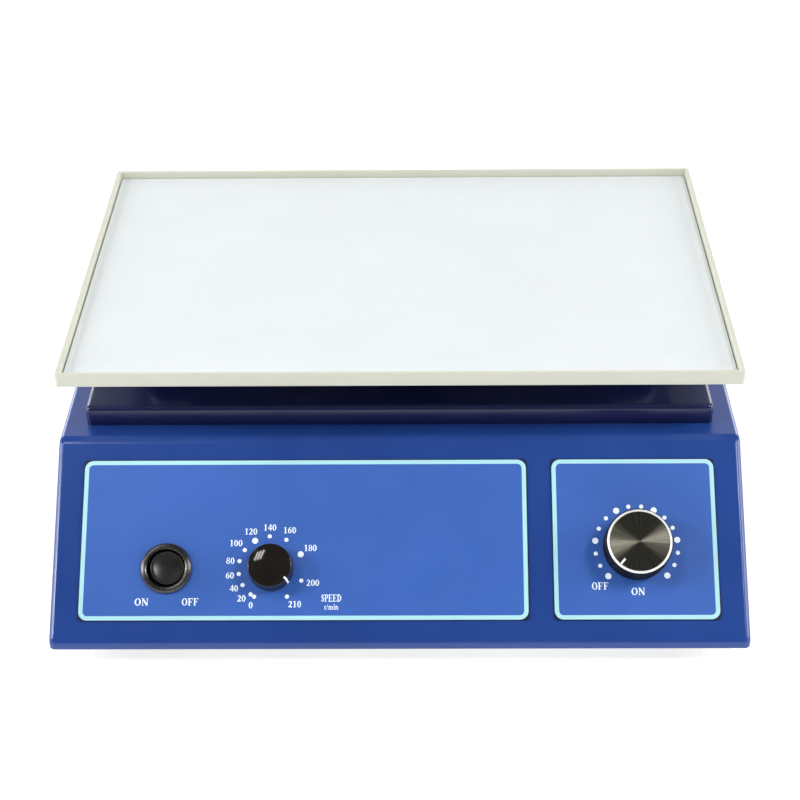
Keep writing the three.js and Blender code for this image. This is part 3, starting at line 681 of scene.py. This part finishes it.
def deck_pan():
    low, high = DECK_LOW, DECK_HIGH
    outline = plate_outline(low.x, high.x, low.y, high.y, DECK_ROUND + 0.3, 8)
    pan = prism(outline, low.z, high.z)
    bevel(pan, DECK_ROUND, at_level(high.z), 6)
    inner = plate_outline(low.x + SHEET, high.x - SHEET, low.y + SHEET, high.y - SHEET, 1.4)
    pan = cut(pan, [prism(inner, low.z - 4, high.z - SHEET)])
    holes = shaft_holes(high.z)
    piece("deck_pan", cut(pan, holes), "deck", "base", "deck_cover")


# ---- tray ---------------------------------------------------------------------------
TRAY_WALL = 2.0
TRAY_FLOOR = 1.5


def tray_pan():
    low, high = TRAY_LOW, TRAY_HIGH
    pan = prism(plate_outline(low.x, high.x, low.y, high.y, 1.3), low.z, high.z)
    well = plate_outline(
        low.x + TRAY_WALL, high.x - TRAY_WALL, low.y + TRAY_WALL, high.y - TRAY_WALL, 0.5)
    pan = cut(pan, [prism(well, low.z + TRAY_FLOOR, high.z + 5)])
    bevel(pan, 0.45, lambda e: at_level(high.z)(e) or at_level(low.z)(e), 3)
    piece("tray_pan", pan, "cream", "platform", "tray")


def tray_mat():
    low, high = MAT_LOW, MAT_HIGH
    mat = prism(plate_outline(low.x, high.x, low.y, high.y, 1.5), low.z, high.z)
    bevel(mat, 0.35, at_level(high.z), 3)
    piece("mat_sheet", mat, "mat", "platform", "tray_mat")


# ---- printed films ------------------------------------------------------------------
BORDER_WIDTH = 1.95
FILM_THICKNESS = 0.3
FILM_MARGIN = 0.4
INK_THICKNESS = 0.03


def film(name, node, holes):
    """A film on the panel: a dark edge that paints the shade round the film, widest at the corners, a pale border
    line and a bright field.
    """
    low, high = box(node)
    middle = panel_seat((low + high) / 2)
    half_x = (high.x - low.x) / 2
    half_y = (high.z - low.z - FILM_THICKNESS * PANEL_OUT.z) / PANEL_UP.z / 2
    bm = bmesh.new()
    inside_border = FILM_MARGIN + BORDER_WIDTH
    # The outer margin, wider at the corners, carries the painted shade round the film's edge.
    rings = [
        (0, 0.1, 2.2), (0, FILM_FACE, 2.2), (FILM_MARGIN, FILM_FACE, 4),
        (inside_border, FILM_FACE, 2.1),
    ]
    loops = []
    for inset, level, corner in rings:
        corners = plate_outline(
            inset - half_x, half_x - inset, inset - half_y, half_y - inset, corner, 8)
        loops.append([bm.verts.new((x, y, level)) for x, y in corners])
    bm.faces.new(loops[0][::-1]).material_index = 0
    for index, (outer, inner) in enumerate(zip(loops, loops[1:])):
        for i in range(len(outer)):
            j = (i + 1) % len(outer)
            face = bm.faces.new((outer[i], outer[j], inner[j], inner[i]))
            face.material_index = 1 if index == 2 else 0
    bm.faces.new(loops[-1]).material_index = 2
    bmesh.ops.recalc_face_normals(bm, faces=bm.faces)
    tools = []
    for point, radius in holes:
        offset = point - middle
        tools.append(rod(offset.x, offset.dot(PANEL_UP), radius, -2, 3))
    bm = cut(bm, tools)
    looks = ["film_edge_painted_shade", "border", "film"]
    piece(name, bm, looks, "base", node, panel_frame(middle))


def inked(outline):
    return prism(outline, FILM_FACE - 0.01, FILM_FACE + INK_THICKNESS)


def dot(x, y, radius):
    return rod(x, y, radius, FILM_FACE - 0.01, FILM_FACE + INK_THICKNESS, 24)


# A serif alphabet, drawn as bars, loops and pen strokes on a capital height of 1.
def bar(x0, x1, y0, y1):
    return inked([(x0, y0), (x1, y0), (x1, y1), (x0, y1)])


def disc(x, y, rx, ry, grow=0.0):
    low, high = FILM_FACE - 0.01 - grow, FILM_FACE + INK_THICKNESS + grow
    outline = [(x + rx * c, y + ry * s) for c, s in (polar(1, 360 * k / 36) for k in range(36))]
    return prism(outline, low, high)


def loop(x, y, rx, ry, side, cap):
    """An oval ring, thick at its sides and thin at its top and bottom."""
    return cut(disc(x, y, rx, ry), [disc(x, y, rx - side, ry - cap, grow=1)])


def stroke(*points):
    """A pen stroke through (x, y, half width) points, smoothed between them."""
    steps = 5
    path = []
    for i in range(len(points) - 1):
        a, b = Vector(points[max(i - 1, 0)]), Vector(points[i])
        c, d = Vector(points[i + 1]), Vector(points[min(i + 2, len(points) - 1)])
        for k in range(steps):
            s = k / steps
            path.append(b + 0.5 * s * (c - a + s * (2 * a - 5 * b + 4 * c - d
                                                    + s * (3 * (b - c) + d - a))))
    path.append(Vector(points[-1]))
    left, right = [], []
    for i, here in enumerate(path):
        along = (path[min(i + 1, len(path) - 1)] - path[max(i - 1, 0)]).to_2d().normalized()
        side = Vector((-along.y, along.x)) * here.z
        left.append(tuple(here.to_2d() + side))
        right.append(tuple(here.to_2d() - side))
    return inked(right + left[::-1])


def stem(x, top=1.0, width=0.22, foot=0.12):
    """An upright with a serif under it."""
    return [bar(x, x + width, 0, top), bar(x - foot, x + width + foot, 0, 0.06)]


def arch(x, reach):
    """The shoulder and right leg of an n."""
    leg = x + reach
    shoulder = stroke((x, 0.44, 0.03), (x + reach * 0.5, 0.63, 0.05), (leg + 0.09, 0.42, 0.09))
    return [shoulder, *stem(leg, 0.48, 0.18, 0.08)]


def glyph_parts(letter):
    """The parts of one letter or figure, and how far it moves the pen on."""
    head = bar(0.02, 0.3, 0.94, 1)
    if letter == "0":
        return [loop(0.36, 0.5, 0.33, 0.5, 0.2, 0.09)], 0.74
    if letter == "1":
        return [*stem(0.27, width=0.2), stroke((0.12, 0.84, 0.03), (0.3, 0.94, 0.05))], 0.74
    if letter == "2":
        curl = stroke(
            (0.11, 0.72, 0.05), (0.2, 0.89, 0.05), (0.36, 0.94, 0.06), (0.54, 0.76, 0.1),
            (0.42, 0.44, 0.08), (0.12, 0.1, 0.04))
        return [curl, bar(0.06, 0.66, 0, 0.17)], 0.74
    if letter == "4":
        slope = stroke((0.06, 0.31, 0.04), (0.48, 0.96, 0.04))
        return [bar(0.4, 0.6, 0, 1), bar(0.04, 0.7, 0.24, 0.38), slope], 0.74
    if letter == "6":
        tail = stroke((0.16, 0.3, 0.1), (0.18, 0.58, 0.09), (0.34, 0.84, 0.06), (0.62, 0.97, 0.03))
        return [loop(0.37, 0.33, 0.31, 0.33, 0.19, 0.08), tail], 0.74
    if letter == "8":
        upper = loop(0.36, 0.75, 0.27, 0.25, 0.14, 0.07)
        lower = loop(0.36, 0.28, 0.32, 0.28, 0.17, 0.08)
        return [upper, lower], 0.74
    if letter == "O":
        return [loop(0.5, 0.5, 0.47, 0.5, 0.22, 0.08)], 1.06
    if letter == "N":
        slope = stroke((0.2, 0.96, 0.11), (0.86, 0.04, 0.11))
        return [*stem(0.14, width=0.09), head, slope, bar(0.83, 0.92, 0, 1),
                bar(0.72, 1.03, 0.94, 1)], 1.1
    if letter in "EF":
        parts = [*stem(0.14), bar(0.02, 0.84, 0.92, 1), bar(0.77, 0.84, 0.72, 1),
                 bar(0.3, 0.62, 0.46, 0.54), bar(0.57, 0.63, 0.36, 0.64)]
        if letter == "E":
            parts += [bar(0.02, 0.88, 0, 0.08), bar(0.81, 0.88, 0, 0.28)]
        return parts, 0.96
    if letter == "P":
        bowl = stroke((0.25, 0.96, 0.04), (0.55, 0.96, 0.05), (0.74, 0.73, 0.11),
                      (0.55, 0.5, 0.05), (0.3, 0.5, 0.04))
        return [*stem(0.14), head, bowl], 0.88
    if letter == "D":
        bowl = stroke((0.2, 0.96, 0.04), (0.52, 0.95, 0.05), (0.84, 0.5, 0.12),
                      (0.52, 0.05, 0.05), (0.2, 0.04, 0.04))
        return [*stem(0.14), head, bowl], 1.04
    if letter == "S":
        curve = stroke(
            (0.58, 0.78, 0.03), (0.4, 0.95, 0.04), (0.18, 0.76, 0.09), (0.38, 0.52, 0.11),
            (0.56, 0.26, 0.1), (0.34, 0.05, 0.04), (0.1, 0.22, 0.03))
        return [curve, bar(0.56, 0.62, 0.7, 0.98), bar(0.06, 0.12, 0.02, 0.3)], 0.74
    if letter == "r":
        ear = stroke((0.28, 0.44, 0.03), (0.42, 0.6, 0.05), (0.56, 0.56, 0.08))
        return [*stem(0.12, 0.68, 0.18, 0.08), ear], 0.62
    if letter == "i":
        return [*stem(0.12, 0.68, 0.18, 0.08), disc(0.21, 0.88, 0.11, 0.11)], 0.44
    if letter == "n":
        return [*stem(0.12, 0.68, 0.18, 0.08), *arch(0.28, 0.28)], 0.86
    if letter == "m":
        return [*stem(0.12, 0.68, 0.18, 0.08), *arch(0.28, 0.26), *arch(0.7, 0.26)], 1.28
    return [stroke((0.02, -0.05, 0.04), (0.36, 1.0, 0.04))], 0.4


GLYPHS = {}


def glyph(letter):
    if letter not in GLYPHS:
        parts, advance = glyph_parts(letter)
        GLYPHS[letter] = (union(parts) if len(parts) > 1 else parts[0], advance)
    shape, advance = GLYPHS[letter]
    return shape.copy(), advance


def word(text, x, y, height, narrow=1.0):
    """Letters centred on a place on the film."""
    shapes = []
    pen = 0
    for letter in text:
        shape, advance = glyph(letter)
        shapes.append(moved(shape, Matrix.Translation((pen, 0, 0))))
        pen += advance
    scale = Matrix.Diagonal((height * narrow, height, 1, 1))
    centre = Matrix.Translation((-pen / 2, -0.5, 0))
    return moved(gathered(shapes), Matrix.Translation((x, y, 0)) @ scale @ centre)


def polar(radius, degrees):
    angle = math.radians(degrees)
    return radius * math.cos(angle), radius * math.sin(angle)


# Speed scale: the angle of each figure's dot, and of the figure itself.
SPEED_SCALE = {
    0: (240, 242), 20: (232.5, 226), 40: (210.5, 208.5), 60: (189.5, 189.5), 80: (166.5, 169),
    100: (145, 144), 120: (120.5, 119), 140: (93.5, 92.5), 160: (63, 65), 180: (26, 28),
    200: (-22, -19), 210: (-60, -56),
}
SPEED_DOT_RADIUS = 14.9
SPEED_FIGURE_RADIUS = 19
WIDE_FIGURE_SHIFT = 1.3
TIMER_DOT_RADIUS = 18.9
TIMER_DOTS = 16
SMALL_DOT = 0.95
LARGE_DOT = 1.4
FIGURE_HEIGHT = 2.9
WORD_HEIGHT = 3.3


def print_piece(name, parts, place):
    piece(name, gathered(parts), "ink", "base", at=panel_frame(place))


def panel_print():
    dots = []
    figures = []
    for value, (dot_angle, figure_angle) in SPEED_SCALE.items():
        size = LARGE_DOT if value in (120, 180) else SMALL_DOT
        dots.append(dot(*polar(SPEED_DOT_RADIUS, dot_angle), size))
        sideways = abs(math.cos(math.radians(figure_angle)))
        reach = SPEED_FIGURE_RADIUS + (WIDE_FIGURE_SHIFT * sideways if value >= 100 else 0)
        x, y = polar(reach, figure_angle)
        figures.append(word(str(value), x, y, FIGURE_HEIGHT, 0.93))
    print_piece("speed_scale_dots", dots, SPEED_PLACE)
    print_piece("speed_scale_figures", figures, SPEED_PLACE)
    units = [word("SPEED", 27.6, -13.6, WORD_HEIGHT, 0.62), word("r/min", 27.6, -17.6, 2.6, 0.7)]
    print_piece("speed_scale_units", units, SPEED_PLACE)
    switch_words = [
        word("ON", -10.7, -15.3, WORD_HEIGHT, 0.92), word("OFF", 11.4, -15.3, WORD_HEIGHT, 0.79)]
    print_piece("switch_words", switch_words, panel_seat(SWITCH_PIVOT))
    dots = []
    for i in range(TIMER_DOTS):
        size = LARGE_DOT if i % 3 == 0 else SMALL_DOT
        dots.append(dot(*polar(TIMER_DOT_RADIUS, 225.5 - 18 * i), size))
    print_piece("timer_scale_dots", dots, TIMER_PLACE)
    timer_words = [
        word("OFF", -17, -18, WORD_HEIGHT, 0.79), word("ON", 0.1, -20.5, WORD_HEIGHT, 0.9)]
    print_piece("timer_words", timer_words, TIMER_PLACE)


# ---- switch -------------------------------------------------------------------------
SWITCH_LEAN = 11


def switch():
    """A round bezel, and a dished button that leans on its pivot."""
    seat = panel_seat(SWITCH_PIVOT)
    ring = rounded([
        (0, -20), (9.8, -20), (9.8, 0.7), (11.6, 0.7, 0.3), (11.5, 1.7, 0.8), (10.2, 2.9, 1.6),
        (8.7, 2.1, 0.6), (8.7, -9, 0.3), (0, -9),
    ], 7, closed=False)
    piece("switch_bezel", lathe(ring, 96), "bezel", "base", "switch_housing",
          panel_frame(seat))
    rim, face, foot = 7.6, 3.6, -5.5
    profile = rounded([
        (0, foot), (6.2, foot, 0.5), (7.2, -3, 1), (rim, face, 0.35), (rim - 1.2, face)],
        5, closed=False)
    dish, steps = 0.75, 10
    for i in range(1, steps + 1):
        reach = (rim - 1.2) * (1 - i / steps)
        profile.append((reach, face - dish * (1 - (reach / (rim - 1.2)) ** 2)))
    lean = Matrix.Rotation(math.radians(SWITCH_LEAN), 4, "Y")
    place = panel_frame(SWITCH_PIVOT) @ lean
    piece("switch_button", lathe(profile, 96), "rocker", "power_rocker",
          "switch_rocker", place)


# ---- knobs --------------------------------------------------------------------------
SPEED_POINTER = -40
TIMER_POINTER = 229.5


def speed_knob():
    ribs = 44
    rib_depth = 0.3
    rib_low, rib_high = 1.5, 8.5

    def fluted(radius, z, angle):
        if radius < 9 or not rib_low < z < rib_high:
            return radius
        return radius - rib_depth * (0.5 - 0.5 * math.cos(ribs * angle))

    side = [(10.5 - 0.6 * share, 1.7 + 6.7 * share) for share in (0, 0.5, 1)]
    drop, crown_edge, crown_steps = 1.5, 9.3, 16
    crown = []
    for i in range(crown_steps + 1):
        reach = crown_edge * (1 - i / crown_steps)
        crown.append((reach, 11 - drop * (reach / crown_edge) ** 2))
    profile = rounded([
        (0, 9), (3.1, 9), (3.1, 6), (6.8, 6), (6.8, 1.1), (10.5, 1.1, 0.25), (10.5, 1.45),
        *side, (9.9, 8.6), (9.85, 9.37, 0.4), *crown,
    ], 5, closed=False)
    bm = lathe(profile, ribs * 8, fluted)
    piece("speed_knob_body", bm, "knob", "speed_dial", "speed_knob",
          panel_frame(SPEED_PLACE))
    sloped = [(8.6, 9.78), (8.6, 1.7), (10.6, 1.7), (10.0, 8.6), (9.97, 9.3), (9.4, 9.6)]
    line = moved(prism(sloped, -0.45, 0.45), Matrix.Rotation(math.radians(90), 4, "X"))
    turn = Matrix.Rotation(math.radians(SPEED_POINTER), 4, "Z")
    piece("speed_pointer", line, "ink", "speed_dial",
          at=panel_frame(SPEED_PLACE) @ turn)


def timer_knob():
    def knurled(radius, z, angle):
        if not 2.0 < z < 12.4 or radius < 14:
            return radius
        return radius - 0.12 * (0.5 - 0.5 * math.cos(90 * angle))

    body = rounded([
        (0, 10), (3.1, 10), (3.1, 7), (9.5, 7), (9.5, 1.1), (15.4, 1.1, 0.3), (15.1, 12.7),
        (14.7, 13.1), (13.6, 13.1), (0, 13.1),
    ], closed=False)
    # A stack of close levels lets the knurl start and stop along the side.
    dense = []
    for last, this in zip(body, body[1:]):
        dense.append(last)
        if min(last[0], this[0]) > 15 and abs(this[1] - last[1]) > 3:
            for k in range(1, 12):
                share = k / 12
                dense.append(tuple(a + (b - a) * share for a, b in zip(last, this)))
    dense.append(body[-1])
    place = panel_frame(TIMER_PLACE)
    piece("timer_knob_body", lathe(dense, 360, knurled), "knob_side", "timer_dial",
          "timer_knob", place)
    rim = rounded([(13.6, 13.15), (14.65, 13.15, 0.1), (14.6, 13.4, 0.15), (14.1, 14.0, 0.25),
                   (13.6, 13.85, 0.1)], 5)
    piece("timer_knob_rim", lathe(rim, 144), "rim", "timer_dial", at=place)
    face = [(0, 13.2), (13.55, 13.2), (13.55, 13.62), (13.45, 13.7), (0.3, 13.7), (0.15, 13.62),
            (0, 13.6)]
    piece("timer_knob_disc", lathe(face, 144), "face", "timer_dial",
          "timer_knob_face", place)
    line = block(10.4, 13.5, -0.45, 0.45, 13.5, 13.76)
    bevel(line, 0.05, sharp, 1)
    turn = Matrix.Rotation(math.radians(TIMER_POINTER), 4, "Z")
    piece("timer_pointer", line, "ink", "timer_dial", at=place @ turn)


# ---- feet ---------------------------------------------------------------------------
def feet():
    profile = rounded([
        (2.2, 4), (4.5, 4, 0.3), (4.5, 0, 0.4), (10, 0, 0.8), (11, 1.5, 1.0), (10.2, 10.1, 0.4),
        (2.2, 10.1),
    ], 4)
    screw = rounded([
        (0, 1.6), (1.2, 1.6), (3.6, 1.7, 0.9), (3.6, 3.9, 0.1), (2, 3.9), (2, 16, 0.4), (0, 16),
    ], 4, closed=False)
    for i in range(1, 5):
        low, high = box(f"foot_{i}")
        at = Matrix.Translation(Vector(((low.x + high.x) / 2, (low.y + high.y) / 2, 0)) * MM)
        piece(f"rubber_foot_{i}", lathe(profile, 64), "rubber", "base",
              f"foot_{i}", at)
        cross = [block(-1.9, 1.9, -0.35, 0.35, 1, 2.9), block(-0.35, 0.35, -1.9, 1.9, 1, 2.9)]
        bolt = cut(lathe(screw, 40), [union(cross)])
        piece(f"foot_bolt_{i}", bolt, "steel", "base", f"foot_screw_{i}", at)


# ---- cranks -------------------------------------------------------------------------
CRANK_GAP = 1.2
CRANK_THICKNESS = 5.6
IDLER_DISC_RADIUS = 18
IDLER_SHAFT_RADIUS = 4
HUB_RADIUS = 22
WEIGHT_RADIUS = 37.6
WEIGHT_OFFSET = 4.2
WEIGHT_EXTRA = 1.5


def crank_shape(disc_radius, low_z, shaft_radius, shaft_bottom):
    """Disc with a chamfered edge on a shaft."""
    z0, z1 = low_z, low_z + CRANK_THICKNESS
    profile = rounded([
        (0, shaft_bottom), (shaft_radius, shaft_bottom, 0.4), (shaft_radius, z0),
        (disc_radius, z0, 0.6), (disc_radius, z1, 0.6), (8, z1), (7.4, z1 + 0.6, 0.3),
        (0, z1 + 0.6),
    ], closed=False)
    return lathe(profile, 80)


def crank_pin(offset, z0, z1):
    """A ground pin with a collar at its foot."""
    profile = rounded([
        (0, z0), (6, z0), (6, z0 + 1.0, 0.3), (4, z0 + 1.2), (4, z1, 0.7), (0, z1),
    ], closed=False)
    pin = lathe(profile, 64)
    return moved(pin, Matrix.Translation(offset))


def cranks():
    main, idlers = crank_places()
    pin_at = joint_place("platform_turn")
    throw = Vector((pin_at.x - main.x, pin_at.y - main.y, 0))
    for i, place in enumerate(idlers, 1):
        low, high = box(f"idler_crank_{i}")
        disc_z = DECK_HIGH.z + CRANK_GAP
        bm = gathered([
            crank_shape(IDLER_DISC_RADIUS, disc_z, IDLER_SHAFT_RADIUS, low.z),
            crank_pin(throw, disc_z + CRANK_THICKNESS - 0.1, high.z),
        ])
        at = Matrix.Translation(Vector((place.x, place.y, 0)) * MM)
        piece(f"idler_arm_{i}", bm, "oxide", f"idler_{i}", f"idler_crank_{i}", at)
    low, high = box("main_crank")
    weight_outline = [polar(WEIGHT_RADIUS, 180 * k / 40) for k in range(41)]
    weight = prism(weight_outline, low.z, low.z + CRANK_THICKNESS + WEIGHT_EXTRA)
    bevel(weight, 0.6, sharp, 2)
    lean = math.atan2(throw.y, throw.x) + math.pi / 2
    shift = Matrix.Translation((0, WEIGHT_OFFSET, 0))
    weight = moved(weight, Matrix.Rotation(lean, 4, "Z") @ shift)
    hub = lathe(rounded([
        (0, low.z), (HUB_RADIUS, low.z, 0.6), (HUB_RADIUS, low.z + CRANK_THICKNESS, 0.6),
        (0, low.z + CRANK_THICKNESS),
    ], closed=False), 96)
    pin = crank_pin(throw, low.z + CRANK_THICKNESS - 0.1, high.z)
    bm = gathered([union([hub, weight]), pin])
    at = Matrix.Translation(Vector((main.x, main.y, 0)) * MM)
    piece("main_crank_arm", bm, "oxide", "drive_crank", "main_crank", at)


def pin_bearings():
    names = ["pin_bearing_main"] + [f"pin_bearing_{i}" for i in range(1, 5)]
    for name in names:
        low, high = box(name)
        z0, z1 = low.z, high.z
        profile = rounded([
            (4.12, z0 + 0.3), (5.6, z0 + 0.3), (5.6, z0 + 0.9), (9.2, z0 + 0.9), (9.2, z0 + 0.3),
            (10.2, z0 + 0.3), (10.4, z0), (12, z0, 0.5), (12, z0 + 7.8, 0.6), (17, z0 + 7.8, 0.4),
            (17, z1), (4.12, z1),
        ], 3)
        heads = []
        for k in range(3):
            x, y = polar(14.4, 30 + 120 * k)
            head = lathe(rounded([
                (0, z0 + 6), (1.1, z0 + 6), (1.1, z0 + 6.9), (2.0, z0 + 6.1, 0.3), (2.0, z0 + 7.9),
                (0, z0 + 7.9)], 2, closed=False), 24)
            heads.append(moved(head, Matrix.Translation((x, y, 0))))
        bm = gathered([lathe(profile, 72), *heads])
        at = Matrix.Translation(Vector(((low.x + high.x) / 2, (low.y + high.y) / 2, 0)) * MM)
        piece(name.replace("bearing", "cup"), bm, "steel", "platform", name, at)


def carrier():
    low, high = box("carrier_plate")
    bm = prism(plate_outline(low.x, high.x, low.y, high.y, 10, 8), low.z, high.z)
    bevel(bm, 0.4, sharp, 2)
    piece("carrier_sheet", bm, "zinc", "platform", "carrier_plate")


# ---- rear inlet ---------------------------------------------------------------------
def inlet():
    low, high = box("power_inlet")
    middle = (low + high) / 2
    quarter = Matrix.Rotation(math.radians(90), 4, "X")
    stand_up = Matrix.Translation((middle.x, 0, middle.z)) @ quarter
    face = -high.y
    flange = prism(plate_outline(-16, 16, -22, 22, 2.5), face, face + 1.9)
    bevel(flange, 0.5, at_level(face), 3)
    body = prism(plate_outline(-14, 14, -19, 19, 1), face + 1.5, -low.y)
    cavity = rounded([
        (-12.3, 0.7, 0.6), (12.3, 0.7, 0.6), (12.3, 12.6, 0.8), (8.2, 17.3, 0.8), (-8.2, 17.3, 0.8),
        (-12.3, 12.6, 0.8),
    ], 3)
    slot = plate_outline(-10.8, 10.8, -16.3, -6.7, 0.3)
    bm = cut(union([flange, body]), [
        prism(cavity, face - 2, face + 16), prism(slot, face - 2, face + 18.6)])
    piece("inlet_socket", moved(bm, stand_up), "inlet", "base", "power_inlet")
    drawer = prism(plate_outline(-10.5, 10.5, -16, -7, 0.6), face, face + 18)
    bevel(drawer, 0.3, at_level(face), 2)
    grip = prism(plate_outline(-5, 5, -13.2, -9.8, 1.6), face - 1, face + 1.1)
    piece("fuse_tray_front", moved(cut(drawer, [grip]), stand_up), "inlet", "fuse_tray",
          "fuse_drawer")
    for name in ("neutral", "live", "earth"):
        low, high = box(f"inlet_{name}_pin")
        pin = block(low.x, high.x, low.y, high.y, low.z, high.z)
        bevel(pin, 0.45, sharp, 3)
        piece(f"{name}_blade", pin, "brass", "base", f"inlet_{name}_pin")


# ---- CAD nodes that stay ------------------------------------------------------------
SLOT_LOOKS = {
    "zinc_plate": "zinc", "cast_alloy": "alloy", "bearing_steel": "steel", "brass_parts": "brass",
    "motor_paint": "motor", "belt_rubber": "rubber", "core_steel": "core", "circuit_board": "board",
}


def dress_cad_nodes():
    slots = {s["node"]: s["material_slot"] for s in frame["record"]["subparts"]}
    for name, node in frame["nodes"].items():
        if node.hide_render:
            continue
        node.data.materials.clear()
        node.data.materials.append(LOOKS[SLOT_LOOKS[slots[name]]])


add_camera()
add_stage()
case_shell()
deck_pan()
tray_pan()
tray_mat()
film("speed_film", "speed_label", [
    (panel_seat(SWITCH_PIVOT), SWITCH_HOLE), (SPEED_PLACE, SPEED_HOLE),
])
film("timer_film", "timer_label", [(TIMER_PLACE, TIMER_HOLE)])
panel_print()
switch()
speed_knob()
timer_knob()
feet()
cranks()
pin_bearings()
carrier()
inlet()
dress_cad_nodes()
